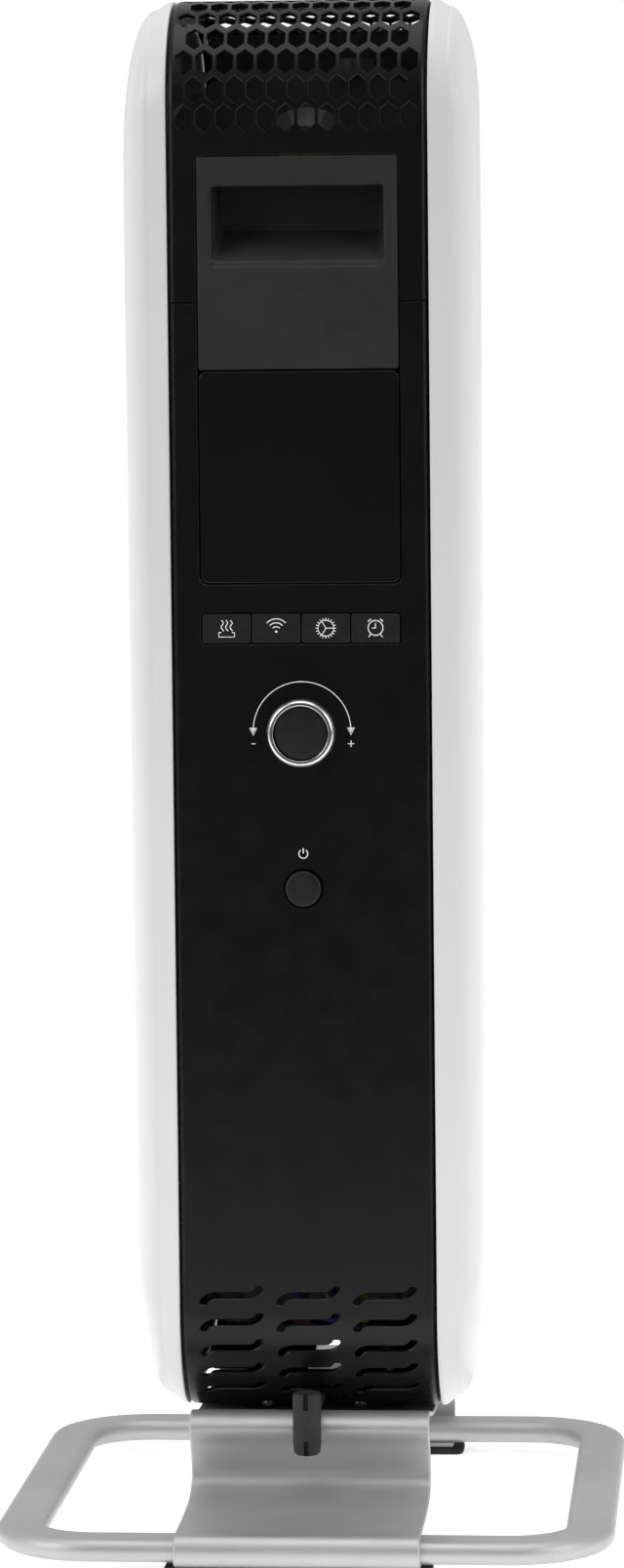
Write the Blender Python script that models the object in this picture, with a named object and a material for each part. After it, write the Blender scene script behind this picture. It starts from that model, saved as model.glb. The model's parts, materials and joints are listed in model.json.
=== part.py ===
"""Compact oil filled radiator heater on a sled base.

Metres, +Z up. The origin is on the floor, under the middle of the base.
The control end faces -Y, and X runs across the heater.
"""
import math

import bmesh
import bpy
from mathutils import Matrix, Vector
from mathutils.geometry import delaunay_2d_cdt

# Overall sizes
BODY_HEIGHT = 0.582
BODY_DEPTH = 0.169
BODY_LIFT = 0.0485
BODY_SETBACK = 0.068
FRONT_WIDTH = 0.1442
REAR_WIDTH = 0.1330
BASE_WIDTH = 0.252
BASE_DEPTH = 0.255

# Clearances
TOUCH_GAP = 0.0003
RUNNING_GAP = 0.0005
COVER_GROOVE = 0.0009

# End covers and top grille, moulded in one wall
COVER_WIDTH = 0.104
COVER_WALL = 0.002
COVER_LIP = 0.009
CORNER_RADIUS = 0.045
COVER_UNDERLAP = 0.010
SPLIT_DROP = 0.123
SPLIT_GAP = 0.0005
GLAND_NOTCH_CHAMFER = 0.0012
GLAND_NOTCH_FLARE = 0.003

# Side casings, pressed from sheet steel
CASING_WALL = 0.0012
CASING_HEM = 0.009
LAND_WIDTH = 0.0072
LAND_FALL = 0.0014
SHOULDER_DEPTH = 0.0195
SHOULDER_HEIGHT = 0.044
FACE_CORNER_RADIUS = 0.030
TAPER_START = 0.030
SHOULDER_STEPS = 6

# Honeycomb of the top grille
HEX_PITCH = 0.0083
HEX_WIDTH = 0.0067
HEX_HEIGHT = 0.0110
HEX_SLOPE = 0.0027
HEX_ROW_PITCH = 0.0116
HEX_FIRST_DROP = 0.004
HEX_EDGE_MARGIN = 0.0025
HEX_REAR_STOP = 0.034

# Vent slots at the foot of the end covers
SLOT_LENGTH = 0.0262
SLOT_HEIGHT = 0.0026
SLOT_HOOK = 0.0024
SLOT_COLUMN_PITCH = 0.0316
SLOT_ROW_PITCH = 0.0112
SLOT_FIRST_RISE = 0.008
SLOT_ROWS = 5
SLOT_COLUMNS = 3
SLOT_BEND = 0.0030
SLOT_BEND_EASE = 0.0006
SLOT_BEND_RISE = 0.0009

# Handle insert and display window
PANEL_DROP = 0.0645
PANEL_WIDTH = 0.0812
INSERT_HEIGHT = 0.0856
WINDOW_HEIGHT = 0.0856
WINDOW_THICKNESS = 0.0024
PANEL_GAP = 0.0008
SCOOP_WIDTH = 0.0695
SCOOP_HEIGHT = 0.0295
SCOOP_DEPTH = 0.022
SCOOP_DROP = 0.0120
INSERT_WALL = 0.0022
SCOOP_LIP = 0.0025
SCOOP_LIP_REAR = 0.004
SCOOP_ROOF_RISE = 0.006
SCOOP_FLOOR_START = 0.0012
SCOOP_FLOOR_EASE = (0.007, 0.0035)
SCOOP_BACK_EASE = (0.004, 0.0045)
SCOOP_BACK_HEIGHT = 0.004
TUB_BACK_HEIGHT = 0.010
WINDOW_CORNER = 0.003
DISPLAY_BOARD_GAP = 0.003
DISPLAY_BOARD_WIDTH = 0.070
DISPLAY_BOARD_HEIGHT = 0.060

# Keys, dial and power button
KEY_DROP = 0.2549
KEY_WIDTH = 0.0197
KEY_HEIGHT = 0.0118
KEY_THICKNESS = 0.0048
KEY_GAP = 0.0005
KEY_TRAVEL = 0.0008
KEY_CORNER = 0.0009
KEY_SWITCH_SIZE = 0.006
DIAL_DROP = 0.2972
DIAL_RADIUS = 0.0140
DIAL_INNER_RADIUS = 0.0112
DIAL_STANDOUT = 0.0085
DIAL_CUP_DEPTH = 0.0058
DIAL_SHAFT_RADIUS = 0.0030
DIAL_SHAFT_LENGTH = 0.0145
DIAL_RIM_CHAMFER = (0.0012, 0.0014)
DIAL_CUP_CHAMFER = (0.0006, 0.0008)
SHAFT_CLEARANCE = 0.001
SHAFT_END_CLEARANCE = 0.0006
DIAL_CAP_THICKNESS = 0.0038
DIAL_CAP_TRAVEL = 0.0008
DIAL_CAP_CROWN = (0.0001, 0.0004, 0.001)
DIAL_CAP_EDGE = 0.0006
ENCODER_SIZE = 0.014
ENCODER_DEPTH = 0.0070
BUTTON_DROP = 0.361
BUTTON_RADIUS = 0.0073
BUTTON_STANDOUT = 0.0026
BUTTON_LENGTH = 0.0105
BUTTON_TRAVEL = 0.0020
BUTTON_EDGE = (0.0003, 0.0011)
SWITCH_SIZE = 0.018
SWITCH_DEPTH = 0.0140

# Boards behind the control end
CONTROL_ZONE = 0.038
BOARD_THICKNESS = 0.0016
BOARD_STEP = 0.0092
CONTROL_BOARD_WIDTH = 0.086
CONTROL_BOARD_HEIGHT = 0.076
CONTROL_BOARD_DROP = 0.022
POWER_BOARD_WIDTH = 0.070
POWER_BOARD_HEIGHT = 0.090
POWER_BOARD_DROP = 0.435
POWER_BOARD_GAP = 0.004
RELAY_SIZE = (0.028, 0.0125, 0.018)
RELAY_PLACE = (-0.015, 0.022)
TERMINAL_SIZE = (0.046, 0.014, 0.018)
TERMINAL_DROP = 0.026
SENSOR_RADIUS = 0.0022
SENSOR_LENGTH = 0.010
SENSOR_TIP = 0.003
SENSOR_PLACE = (0.036, 0.012, 0.052)
SHIELD_THICKNESS = 0.0012
SHIELD_EDGE_GAP = 0.002
SHIELD_TOP_GAP = 0.004
REAR_SHIELD_TOP_DROP = 0.009
REAR_SHIELD_BOTTOM_RISE = 0.016
REAR_SHIELD_GAP = 0.0009
REAR_SHIELD_HOLE_GAP = 0.0015

# Oil columns
COLUMN_COUNT = 4
COLUMN_WIDTH = 0.120
COLUMN_PLATE = 0.0060
COLUMN_TOP_DROP = 0.030
COLUMN_BOTTOM_RISE = 0.036
COLUMN_CORNER = 0.034
HEADER_RADIUS = 0.021
HEADER_INSET = 0.034
HEADER_BORE = 0.0085
FLUTE_WIDTH = 0.016
FLUTE_BULGE = 0.0042
FLUTE_PITCH = 0.036
FLUTE_END_OVERLAP = 0.012
BOSS_FACE_SHARE = 0.62
FILL_PLUG_SPACE = 0.007
REAR_PLUG_SPACE = 0.002
ELEMENT_RADIUS = 0.0060
FLANGE_RADIUS = 0.019
FLANGE_THICKNESS = 0.005
PLUG_RADIUS = 0.011
PLUG_THICKNESS = 0.006
ELEMENT_END_GAP = 0.010
FLANGE_STEP = 0.0022
CUTOUT_RADIUS = 0.008
CUTOUT_HEIGHT = 0.006
CUTOUT_X = 0.020

# Cross straps between the casings
STRAP_DEPTH = 0.024
STRAP_THICKNESS = 0.0015
STRAP_EAR = 0.012
STRAP_OFFSET = 0.0012

# Sled base
TUBE_WIDTH = 0.020
TUBE_HEIGHT = 0.0095
TUBE_CORNER = 0.042
SHEET_WIDTH = 0.099
SHEET_THICKNESS = 0.0018
PAD_THICKNESS = 0.0026
PAD_WIDTH = 0.108
PAD_DEPTH = 0.018
SHEET_WAIST_SETBACK = 0.0755
SHEET_BULGE_SETBACK = 0.0665
SHEET_SEAT_GAP = 0.0018
SHEET_HOOK_OVERLAP = 0.004
SHEET_REAR_BEND = 0.010
PAD_CORNER = 0.004
FOOT_WIDTH = 0.070
FOOT_DEPTH = 0.048
FOOT_WALL = 0.003
FOOT_FLANGE = 0.004
FOOT_TOP_GAP = 0.006
BOLT_RADIUS = 0.0030
BOLT_HEAD_RADIUS = 0.0055
BOLT_HEAD_HEIGHT = 0.0030
BOLT_SPACING = 0.036
BOLT_STANDOUT = 0.006

# Cord gland and cover screws
GLAND_RADIUS = 0.0058
GLAND_LENGTH = 0.0255
GLAND_RISE = 0.0062
GLAND_FORWARD = 0.0105
GLAND_SLIT = 0.0012
GLAND_SLIT_DEPTH = 0.002
GLAND_LOWER_SLIT = 0.0055
GLAND_UPPER_SLIT = 0.007
GLAND_END_CROWN = 0.0004
GLAND_LOWER_EDGE = (0.0016, 0.0003, 0.006)
GLAND_UPPER_EDGE = 0.001
NECK_WIDTH = 0.010
NECK_THICKNESS = 0.0032
NECK_INSIDE = 0.032
NOTCH_WIDTH = 0.0138
NECK_TOP_RISE = 0.00914
SCREW_HEAD_RADIUS = 0.0030
SCREW_HEAD_HEIGHT = 0.0020
SCREW_SHANK_RADIUS = 0.0014
SCREW_LENGTH = 0.010
SCREW_SPACING = 0.038
SCREW_TURN = 1.1667
SCREW_SLOT = (0.0036, 0.0008, 0.0018)

# Tip-over switch
TILT_BOX = (0.026, 0.014, 0.030)
TILT_WALL = 0.002
TILT_RISE = 0.032
TILT_PIN_RADIUS = 0.0013
PENDULUM_LENGTH = 0.018
PENDULUM_RADIUS = 0.0048
PENDULUM_THICKNESS = 0.0060
PENDULUM_EYE = 0.0026
PENDULUM_ARM = 0.0028
PENDULUM_FORWARD = 0.0008
TILT_X = 0.032
TILT_SHIELD_GAP = 0.003
TILT_PIN_DROP = 0.0032
TILT_PIN_INSET = 0.001
CUTTER_OVERRUN = 0.001

# Derived places
FRONT_Y = BODY_SETBACK - BASE_DEPTH / 2
REAR_Y = FRONT_Y + BODY_DEPTH
MIDDLE_Y = (FRONT_Y + REAR_Y) / 2
BOTTOM_Z = BODY_LIFT
TOP_Z = BODY_LIFT + BODY_HEIGHT
SPLIT_Z = TOP_Z - SPLIT_DROP
PANEL_TOP_Z = TOP_Z - PANEL_DROP
INSERT_BOTTOM_Z = PANEL_TOP_Z - INSERT_HEIGHT
WINDOW_TOP_Z = INSERT_BOTTOM_Z - PANEL_GAP
WINDOW_BOTTOM_Z = WINDOW_TOP_Z - WINDOW_HEIGHT
KEY_Z = TOP_Z - KEY_DROP
DIAL_Z = TOP_Z - DIAL_DROP
BUTTON_Z = TOP_Z - BUTTON_DROP
SHIELD_Y = FRONT_Y + CONTROL_ZONE
BOARD_Y = FRONT_Y + BOARD_STEP
COLUMN_TOP_Z = TOP_Z - COLUMN_TOP_DROP
COLUMN_BOTTOM_Z = BOTTOM_Z + COLUMN_BOTTOM_RISE
COLUMN_FIRST_Y = SHIELD_Y + SHIELD_THICKNESS + FILL_PLUG_SPACE
COLUMN_LAST_Y = REAR_Y - SCOOP_DEPTH - INSERT_WALL - PLUG_THICKNESS - REAR_PLUG_SPACE
COLUMN_PITCH = (COLUMN_LAST_Y - COLUMN_FIRST_Y) / COLUMN_COUNT
UPPER_HEADER_Z = COLUMN_TOP_Z - HEADER_INSET
LOWER_HEADER_Z = COLUMN_BOTTOM_Z + HEADER_INSET
SHEET_BOTTOM_Z = PAD_THICKNESS + TOUCH_GAP
TUBE_BOTTOM_Z = SHEET_BOTTOM_Z + SHEET_THICKNESS + TOUCH_GAP
TUBE_TOP_Z = TUBE_BOTTOM_Z + TUBE_HEIGHT
SHEET_TOP_Z = BOTTOM_Z - SHEET_SEAT_GAP
NECK_TOP_Z = BOTTOM_Z + NECK_TOP_RISE
NOTCH_ARC = CORNER_RADIUS * math.asin(1 - NECK_TOP_RISE / CORNER_RADIUS) - RUNNING_GAP
SCREW_ARC = CORNER_RADIUS * SCREW_TURN


def clear_scene():
    for old in list(bpy.data.objects):
        bpy.data.objects.remove(old, do_unlink=True)


def material(name, color, roughness, metallic=0.0):
    """Principled material, made once for each name."""
    found = bpy.data.materials.get(name)
    if found:
        return found
    made = bpy.data.materials.new(name)
    made.use_nodes = True
    shader = made.node_tree.nodes["Principled BSDF"]
    shader.inputs["Base Color"].default_value = (*color, 1.0)
    shader.inputs["Roughness"].default_value = roughness
    shader.inputs["Metallic"].default_value = metallic
    return made


def white_enamel():
    return material("white_enamel", (0.86, 0.86, 0.85), 0.32)


def black_plastic():
    return material("black_plastic", (0.012, 0.012, 0.013), 0.30)


def satin_aluminium():
    return material("satin_aluminium", (0.62, 0.62, 0.63), 0.36, 1.0)


def charcoal_plastic():
    return material("charcoal_plastic", (0.035, 0.035, 0.037), 0.55)


def zinc_steel():
    return material("zinc_steel", (0.45, 0.46, 0.47), 0.42, 1.0)


def board_green():
    return material("circuit_board", (0.02, 0.12, 0.05), 0.5)


def grey_enamel():
    return material("grey_enamel", (0.09, 0.092, 0.095), 0.45)


def relay_black():
    return material("relay_black", (0.03, 0.03, 0.035), 0.4)


def switch_blue():
    return material("switch_blue", (0.05, 0.07, 0.10), 0.5)


def brass():
    return material("brass", (0.70, 0.52, 0.22), 0.35, 1.0)


def black_steel():
    return material("screw_black", (0.03, 0.03, 0.03), 0.35, 0.8)


def add_object(name, mesh, finish, location=(0, 0, 0), sharp=30):
    mesh.materials.clear()
    mesh.materials.append(finish)
    mesh.shade_smooth()
    mesh.set_sharp_from_angle(angle=math.radians(sharp))
    made = bpy.data.objects.new(name, mesh)
    made.location = location
    bpy.context.scene.collection.objects.link(made)
    return made


def mesh_from(name, verts, faces):
    """Mesh with its faces turned outwards."""
    mesh = bpy.data.meshes.new(name)
    mesh.from_pydata([tuple(v) for v in verts], [], faces)
    work = bmesh.new()
    work.from_mesh(mesh)
    bmesh.ops.recalc_face_normals(work, faces=work.faces)
    work.to_mesh(mesh)
    work.free()
    return mesh


def loft(name, rings, closed=False):
    """Skin between rings of equal point counts; open lofts get flat end caps."""
    count = len(rings[0])
    verts = [point for ring in rings for point in ring]
    faces = []
    last = len(rings) if closed else len(rings) - 1
    for i in range(last):
        a = i * count
        b = (i + 1) % len(rings) * count
        for j in range(count):
            k = (j + 1) % count
            faces.append((a + j, a + k, b + k, b + j))
    if not closed:
        faces.append(tuple(range(count)))
        faces.append(tuple(range(len(verts) - count, len(verts))))
    return mesh_from(name, verts, faces)


def prism(name, outline, axis, low, high):
    """Outline pushed along an axis; its pairs are the other two axes in X, Y, Z order."""
    def place(u, v, w):
        return {"X": (w, u, v), "Y": (u, w, v), "Z": (u, v, w)}[axis]
    rings = [[place(u, v, w) for u, v in outline] for w in (low, high)]
    return loft(name, rings)


def rectangle(low_u, high_u, low_v, high_v):
    return [(low_u, low_v), (high_u, low_v), (high_u, high_v), (low_u, high_v)]


def box(name, size, centre):
    half = [s / 2 for s in size]
    outline = rectangle(centre[0] - half[0], centre[0] + half[0], centre[1] - half[1], centre[1] + half[1])
    return prism(name, outline, "Z", centre[2] - half[2], centre[2] + half[2])


def circle(radius, count, centre=(0, 0), turn=0.0):
    step = 2 * math.pi / count
    return [(centre[0] + radius * math.cos(turn + step * i), centre[1] + radius * math.sin(turn + step * i))
            for i in range(count)]


def turned(name, profile, count, axis):
    """Profile of (radius, height) spun round an axis; zero radii at its ends become poles."""
    verts = []
    rows = []
    for radius, height in profile:
        row = []
        ring = circle(radius, count) if radius > 0 else [(0, 0)]
        for u, v in ring:
            row.append(len(verts))
            verts.append((u, height, v) if axis == "Y" else (u, v, height))
        rows.append(row)
    faces = []
    for low, high in zip(rows, rows[1:]):
        for j in range(count):
            k = (j + 1) % count
            if len(low) == 1:
                faces.append((low[0], high[j], high[k]))
            elif len(high) == 1:
                faces.append((low[j], low[k], high[0]))
            else:
                faces.append((low[j], low[k], high[k], high[j]))
    return mesh_from(name, verts, faces)


def rounded_rectangle(half_u, half_v, radius_u, radius_v, steps, fill=0, centre=(0, 0)):
    """Outline with elliptical corners; fill adds points along its two level sides."""
    points = []
    for index, (sign_u, sign_v) in enumerate(((1, 1), (-1, 1), (-1, -1), (1, -1))):
        for i in range(steps + 1):
            angle = math.pi / 2 * (index + i / steps)
            points.append((centre[0] + sign_u * (half_u - radius_u) + radius_u * math.cos(angle),
                           centre[1] + sign_v * (half_v - radius_v) + radius_v * math.sin(angle)))
        if fill and index in (0, 2):
            start = points[-1]
            end_u = centre[0] - sign_u * (half_u - radius_u)
            for i in range(1, fill + 1):
                points.append((start[0] + (end_u - start[0]) * i / (fill + 1), start[1]))
    return points


def cut(target, tool_mesh, operation="DIFFERENCE"):
    """Boolean with a hidden tool object."""
    tool = bpy.data.objects.new(target.name + "_tool", tool_mesh)
    bpy.context.scene.collection.objects.link(tool)
    tool.hide_render = True
    tool.display_type = "WIRE"
    modifier = target.modifiers.new(tool.name, "BOOLEAN")
    modifier.operation = operation
    modifier.solver = "EXACT"
    modifier.object = tool
    return tool


# Body outline seen from the side -------------------------------------------------

HALF_BOTTOM = BODY_DEPTH / 2 - CORNER_RADIUS
ARC_LENGTH = CORNER_RADIUS * math.pi / 2
UPRIGHT = BODY_HEIGHT - 2 * CORNER_RADIUS
LOWER_ARC_END = HALF_BOTTOM + ARC_LENGTH
UPPER_ARC_START = LOWER_ARC_END + UPRIGHT


def outline_point(s, inset=0.0):
    """(y, z) at a distance s along the outline, from the middle of the underside round the front."""
    y, z, heading = MIDDLE_Y, BOTTOM_Z, math.pi
    stretches = (HALF_BOTTOM, UPRIGHT, 2 * HALF_BOTTOM, UPRIGHT, HALF_BOTTOM)
    for index, stretch in enumerate(stretches):
        run = min(s, stretch) if index < 4 else s
        y += run * math.cos(heading)
        z += run * math.sin(heading)
        s -= run
        if s <= 0 or index == 4:
            break
        turn = min(s, ARC_LENGTH) / CORNER_RADIUS
        centre_y = y + CORNER_RADIUS * math.sin(heading)
        centre_z = z - CORNER_RADIUS * math.cos(heading)
        heading -= turn
        y = centre_y - CORNER_RADIUS * math.sin(heading)
        z = centre_z + CORNER_RADIUS * math.cos(heading)
        s -= turn * CORNER_RADIUS
        if s <= 1e-9:
            break
    return y + inset * math.sin(heading), z - inset * math.cos(heading)


def inside(point, polygon):
    """True where the point lies within the polygon."""
    found = False
    for (x1, y1), (x2, y2) in zip(polygon, polygon[1:] + polygon[:1]):
        if (y1 > point[1]) != (y2 > point[1]):
            if point[0] < (x2 - x1) * (point[1] - y1) / (y2 - y1) + x1:
                found = not found
    return found


def bent_cover(name, outline, holes, folds, mirrored=False):
    """Moulded sheet that follows the body outline, with holes and a lip along both long edges.

    The outline, holes and folds are laid out flat as (x, s). What lies past the half width
    becomes the lip. A fold is a value of s where the sheet bends.
    """
    half = COVER_WIDTH / 2
    reach = half + COVER_LIP
    coords = []
    edges = []
    for ring in [outline] + holes:
        first = len(coords)
        coords += ring
        edges += [(first + i, first + (i + 1) % len(ring)) for i in range(len(ring))]
    low_s = min(s for x, s in outline)
    high_s = max(s for x, s in outline)
    lines = [((side * half, low_s), (side * half, high_s)) for side in (-1, 1)]
    lines += [((-reach, s), (reach, s)) for s in folds if low_s < s < high_s]
    for start, end in lines:
        edges.append((len(coords), len(coords) + 1))
        coords += [start, end]
    flat, _, faces, _, _, _ = delaunay_2d_cdt([Vector(c) for c in coords], edges, [], 0, 1e-7)
    kept = []
    for face in faces:
        middle = sum((flat[i] for i in face), Vector((0, 0))) / len(face)
        if inside(middle, outline) and not any(inside(middle, hole) for hole in holes):
            kept.append(tuple(face))
    used = sorted({i for face in kept for i in face})
    order = {i: n for n, i in enumerate(used)}
    sign = -1 if mirrored else 1
    verts = []
    for layer in (0, 1):
        for i in used:
            x, s = flat[i]
            past = max(0.0, abs(x) - half)
            depth = past
            out_x = math.copysign(min(abs(x), half), x)
            if layer:
                depth = max(past, COVER_WALL)
                out_x = math.copysign(min(abs(x), half - COVER_WALL), x)
            y, z = outline_point(s, depth)
            verts.append((out_x, MIDDLE_Y + sign * (y - MIDDLE_Y), z))
    total = len(used)
    skins = [tuple(order[i] for i in face) for face in kept]
    shell = skins + [tuple(total + i for i in reversed(face)) for face in skins]
    count = {}
    for face in skins:
        for a, b in zip(face, face[1:] + face[:1]):
            count[(a, b)] = count.get((a, b), 0) + 1
    for a, b in count:
        if (b, a) not in count:
            shell.append((b, a, total + a, total + b))
    return mesh_from(name, verts, shell)


def honeycomb(first_s, last_s):
    """Staggered rows of tall hexagons between two places on the outline."""
    usable = COVER_WIDTH / 2 - HEX_EDGE_MARGIN - HEX_WIDTH / 2
    holes = []
    for row in range(int((last_s - first_s) / HEX_ROW_PITCH + 1e-6) + 1):
        s = first_s + row * HEX_ROW_PITCH
        offset = 0.0 if row % 2 else 0.5
        reach = int(usable / HEX_PITCH - offset + 1e-6)
        places = [offset + k for k in range(-reach - (0 if row % 2 else 1), reach + 1)]
        for place in places:
            x = place * HEX_PITCH
            w = HEX_WIDTH / 2
            h = HEX_HEIGHT / 2
            k = h - HEX_SLOPE
            right = [(x, s - h), (x + w, s - k), (x + w, s + k)]
            left = [(x, s + h), (x - w, s + k), (x - w, s - k)]
            holes.append(right + left)
    return holes


def vent_slots(first_s):
    """Rows of slots, each with its left end turned down and its right end turned up."""
    half = SLOT_LENGTH / 2
    bar = SLOT_HEIGHT / 2
    turn = half - SLOT_BEND
    start = half - 2.2 * SLOT_BEND
    right = [(start, -bar), (turn, -bar * 0.6), (half, SLOT_HOOK), (half - 0.0002, bar + SLOT_HOOK),
             (turn, bar + SLOT_HOOK), (turn - SLOT_BEND_EASE, bar + SLOT_BEND_RISE), (start, bar)]
    shape = right + [(-x, -s) for x, s in right]
    slots = []
    for row in range(SLOT_ROWS):
        for column in range(SLOT_COLUMNS):
            x = (column - (SLOT_COLUMNS - 1) / 2) * SLOT_COLUMN_PITCH
            s = first_s - row * SLOT_ROW_PITCH
            slots.append([(x + u, s + v) for u, v in shape])
    return slots


def cover_folds():
    """Folds round the lower arc, one between each two rows of slots."""
    first = LOWER_ARC_END + SLOT_FIRST_RISE
    lines = int(ARC_LENGTH / SLOT_ROW_PITCH) + 2
    folds = [first - (row + 0.5) * SLOT_ROW_PITCH for row in range(lines)]
    return [s for s in folds if s > HALF_BOTTOM] + [HALF_BOTTOM]


def height_to_s(z):
    """Distance along the outline of a height on the upright front."""
    return LOWER_ARC_END + z - BOTTOM_Z - CORNER_RADIUS


def round_hole(radius, x, s, count):
    return circle(radius, count, (x, s))


def screw_holes():
    s = LOWER_ARC_END - SCREW_ARC
    radius = SCREW_SHANK_RADIUS + RUNNING_GAP
    return [round_hole(radius, side * SCREW_SPACING / 2, s, 12) for side in (-1, 1)]


def end_cover_outline(panel_bottom_z):
    """Flat outline of an end cover, with the panel notch at its top and the gland notch below."""
    reach = COVER_WIDTH / 2 + COVER_LIP
    notch = PANEL_WIDTH / 2 + PANEL_GAP
    low = HALF_BOTTOM - COVER_UNDERLAP
    high = height_to_s(SPLIT_Z) - SPLIT_GAP / 2
    floor = height_to_s(panel_bottom_z) - PANEL_GAP
    gland = LOWER_ARC_END - NOTCH_ARC
    half = NOTCH_WIDTH / 2
    chamfer = GLAND_NOTCH_CHAMFER
    right = [(half + GLAND_NOTCH_FLARE, low), (reach, low), (reach, high), (notch, high), (notch, floor)]
    mouth = [(-half, gland - chamfer), (-half + chamfer, gland), (half - chamfer, gland),
             (half, gland - chamfer)]
    left = [(-x, s) for x, s in reversed(right)]
    return right + left + mouth


def front_cover():
    holes = vent_slots(LOWER_ARC_END + SLOT_FIRST_RISE) + screw_holes()
    key_s = height_to_s(KEY_Z)
    strip = (4 * KEY_WIDTH + 3 * KEY_GAP) / 2 + KEY_GAP
    rise = KEY_HEIGHT / 2 + KEY_GAP
    holes.append(rectangle(-strip, strip, key_s - rise, key_s + rise))
    holes.append(round_hole(DIAL_SHAFT_RADIUS + SHAFT_CLEARANCE, 0, height_to_s(DIAL_Z), 16))
    holes.append(round_hole(BUTTON_RADIUS + RUNNING_GAP, 0, height_to_s(BUTTON_Z), 32))
    mesh = bent_cover("front_cover", end_cover_outline(WINDOW_BOTTOM_Z), holes, cover_folds())
    add_object("front_cover", mesh, black_plastic())


def rear_cover():
    holes = vent_slots(LOWER_ARC_END + SLOT_FIRST_RISE) + screw_holes()
    outline = end_cover_outline(INSERT_BOTTOM_Z)
    mesh = bent_cover("rear_cover", outline, holes, cover_folds(), mirrored=True)
    add_object("rear_cover", mesh, black_plastic())


def top_grille():
    """Cover over the top, down to the split on both ends, with a notch for each handle insert."""
    reach = COVER_WIDTH / 2 + COVER_LIP
    notch = PANEL_WIDTH / 2 + PANEL_GAP
    low = height_to_s(SPLIT_Z) + SPLIT_GAP / 2
    panel = height_to_s(PANEL_TOP_Z) + PANEL_GAP
    middle = UPPER_ARC_START + ARC_LENGTH + HALF_BOTTOM
    near = [(-reach, low), (-notch, low), (-notch, panel), (notch, panel), (notch, low), (reach, low)]
    far = [(-x, 2 * middle - s) for x, s in near]
    first = UPPER_ARC_START - HEX_FIRST_DROP
    last = 2 * middle - UPPER_ARC_START - HEX_REAR_STOP
    holes = honeycomb(first, last)
    lines = int((2 * middle - 2 * UPPER_ARC_START) / HEX_ROW_PITCH) + 3
    folds = [first + (row - 0.5) * HEX_ROW_PITCH for row in range(lines)]
    folds += [UPPER_ARC_START + 2 * ARC_LENGTH + 2 * HALF_BOTTOM]
    add_object("top_grille", bent_cover("top_grille", near + far, holes, folds), black_plastic())


# Side casings ---------------------------------------------------------------------

def half_width_at(y):
    """Half width of the body, full behind the front shoulder and easing to the rear."""
    start = FRONT_Y + TAPER_START
    share = min(1.0, max(0.0, (y - start) / (REAR_Y - SHOULDER_DEPTH - start)))
    return (FRONT_WIDTH + (REAR_WIDTH - FRONT_WIDTH) * share) / 2


def casing_reach(y, z):
    """Inner half width of a casing at a height near its rounded top or foot."""
    rim = COVER_WIDTH / 2 + COVER_GROOVE
    fall = min(1.0, min(TOP_Z - z, z - BOTTOM_Z) / SHOULDER_HEIGHT)
    start = LAND_FALL / SHOULDER_DEPTH
    rounding = math.sin(math.acos(1 - max(0.0, (fall - start) / (1 - start))))
    full = half_width_at(y)
    land = rim + (full - rim) * LAND_WIDTH / (FRONT_WIDTH / 2 - rim)
    return land + (full - land) * rounding - CASING_WALL


def casing_ring(way_out, fall, wall, steps, fill):
    """Ring of a casing: way_out runs from 0 at the land's edge to 1 at the side face."""
    depth_inset = fall * SHOULDER_DEPTH + wall
    height_inset = fall * SHOULDER_HEIGHT + wall
    radius = CORNER_RADIUS + (FACE_CORNER_RADIUS - CORNER_RADIUS) * fall - wall
    half_depth = BODY_DEPTH / 2 - depth_inset
    half_height = BODY_HEIGHT / 2 - height_inset
    centre = (MIDDLE_Y, (BOTTOM_Z + TOP_Z) / 2)
    outline = rounded_rectangle(half_depth, half_height, radius, radius, steps, fill, centre)
    rim = COVER_WIDTH / 2 + COVER_GROOVE
    ring = []
    for y, z in outline:
        full = half_width_at(y) - wall
        ring.append((rim + (full - rim) * way_out, y, z))
    return ring


def casing(name, side):
    """Pressed tray: hem, narrow land, rounded shoulder and a large side face."""
    rim = COVER_WIDTH / 2 + COVER_GROOVE
    land = LAND_WIDTH / (FRONT_WIDTH / 2 - rim)
    fall_at_land = LAND_FALL / SHOULDER_DEPTH
    stations = [(0.0, 0.0), (land, fall_at_land)]
    for i in range(1, SHOULDER_STEPS + 1):
        angle = math.pi / 2 * i / SHOULDER_STEPS
        stations.append((land + (1 - land) * math.sin(angle),
                         fall_at_land + (1 - fall_at_land) * (1 - math.cos(angle))))
    steps, fill = 6, 5
    outer = [casing_ring(w, f, 0.0, steps, fill) for w, f in stations]
    inner = [casing_ring(w, f, CASING_WALL, steps, fill) for w, f in stations]
    hem_out = casing_ring(0, 0, CASING_HEM, steps, fill)
    inner_edge = rim + CASING_WALL
    hem_in = [(inner_edge, y, z) for _, y, z in hem_out]
    inner[0] = [(inner_edge, y, z) for _, y, z in inner[0]]
    rings = outer[::-1] + [hem_out, hem_in] + inner
    count = len(rings[0])
    verts = [(side * x, y, z) for ring in rings for x, y, z in ring]
    faces = []
    for i in range(len(rings) - 1):
        for j in range(count):
            k = (j + 1) % count
            faces.append((i * count + j, i * count + k, (i + 1) * count + k, (i + 1) * count + j))
    for first in (0, (len(rings) - 1) * count):
        faces += side_face_strips(first, count, steps, fill)
    add_object(name, mesh_from(name, verts, faces), white_enamel())


def side_face_strips(first, count, steps, fill):
    """Upright strips that close a ring, joining each top point to the one below it."""
    half = 2 * (steps + 1) + fill
    top = list(range(half))
    bottom = [count - 1 - i for i in range(half)]
    strips = []
    for i in range(half - 1):
        strips.append((first + top[i], first + top[i + 1], first + bottom[i + 1], first + bottom[i]))
    return strips


# Handle inserts and window -------------------------------------------------------

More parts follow.
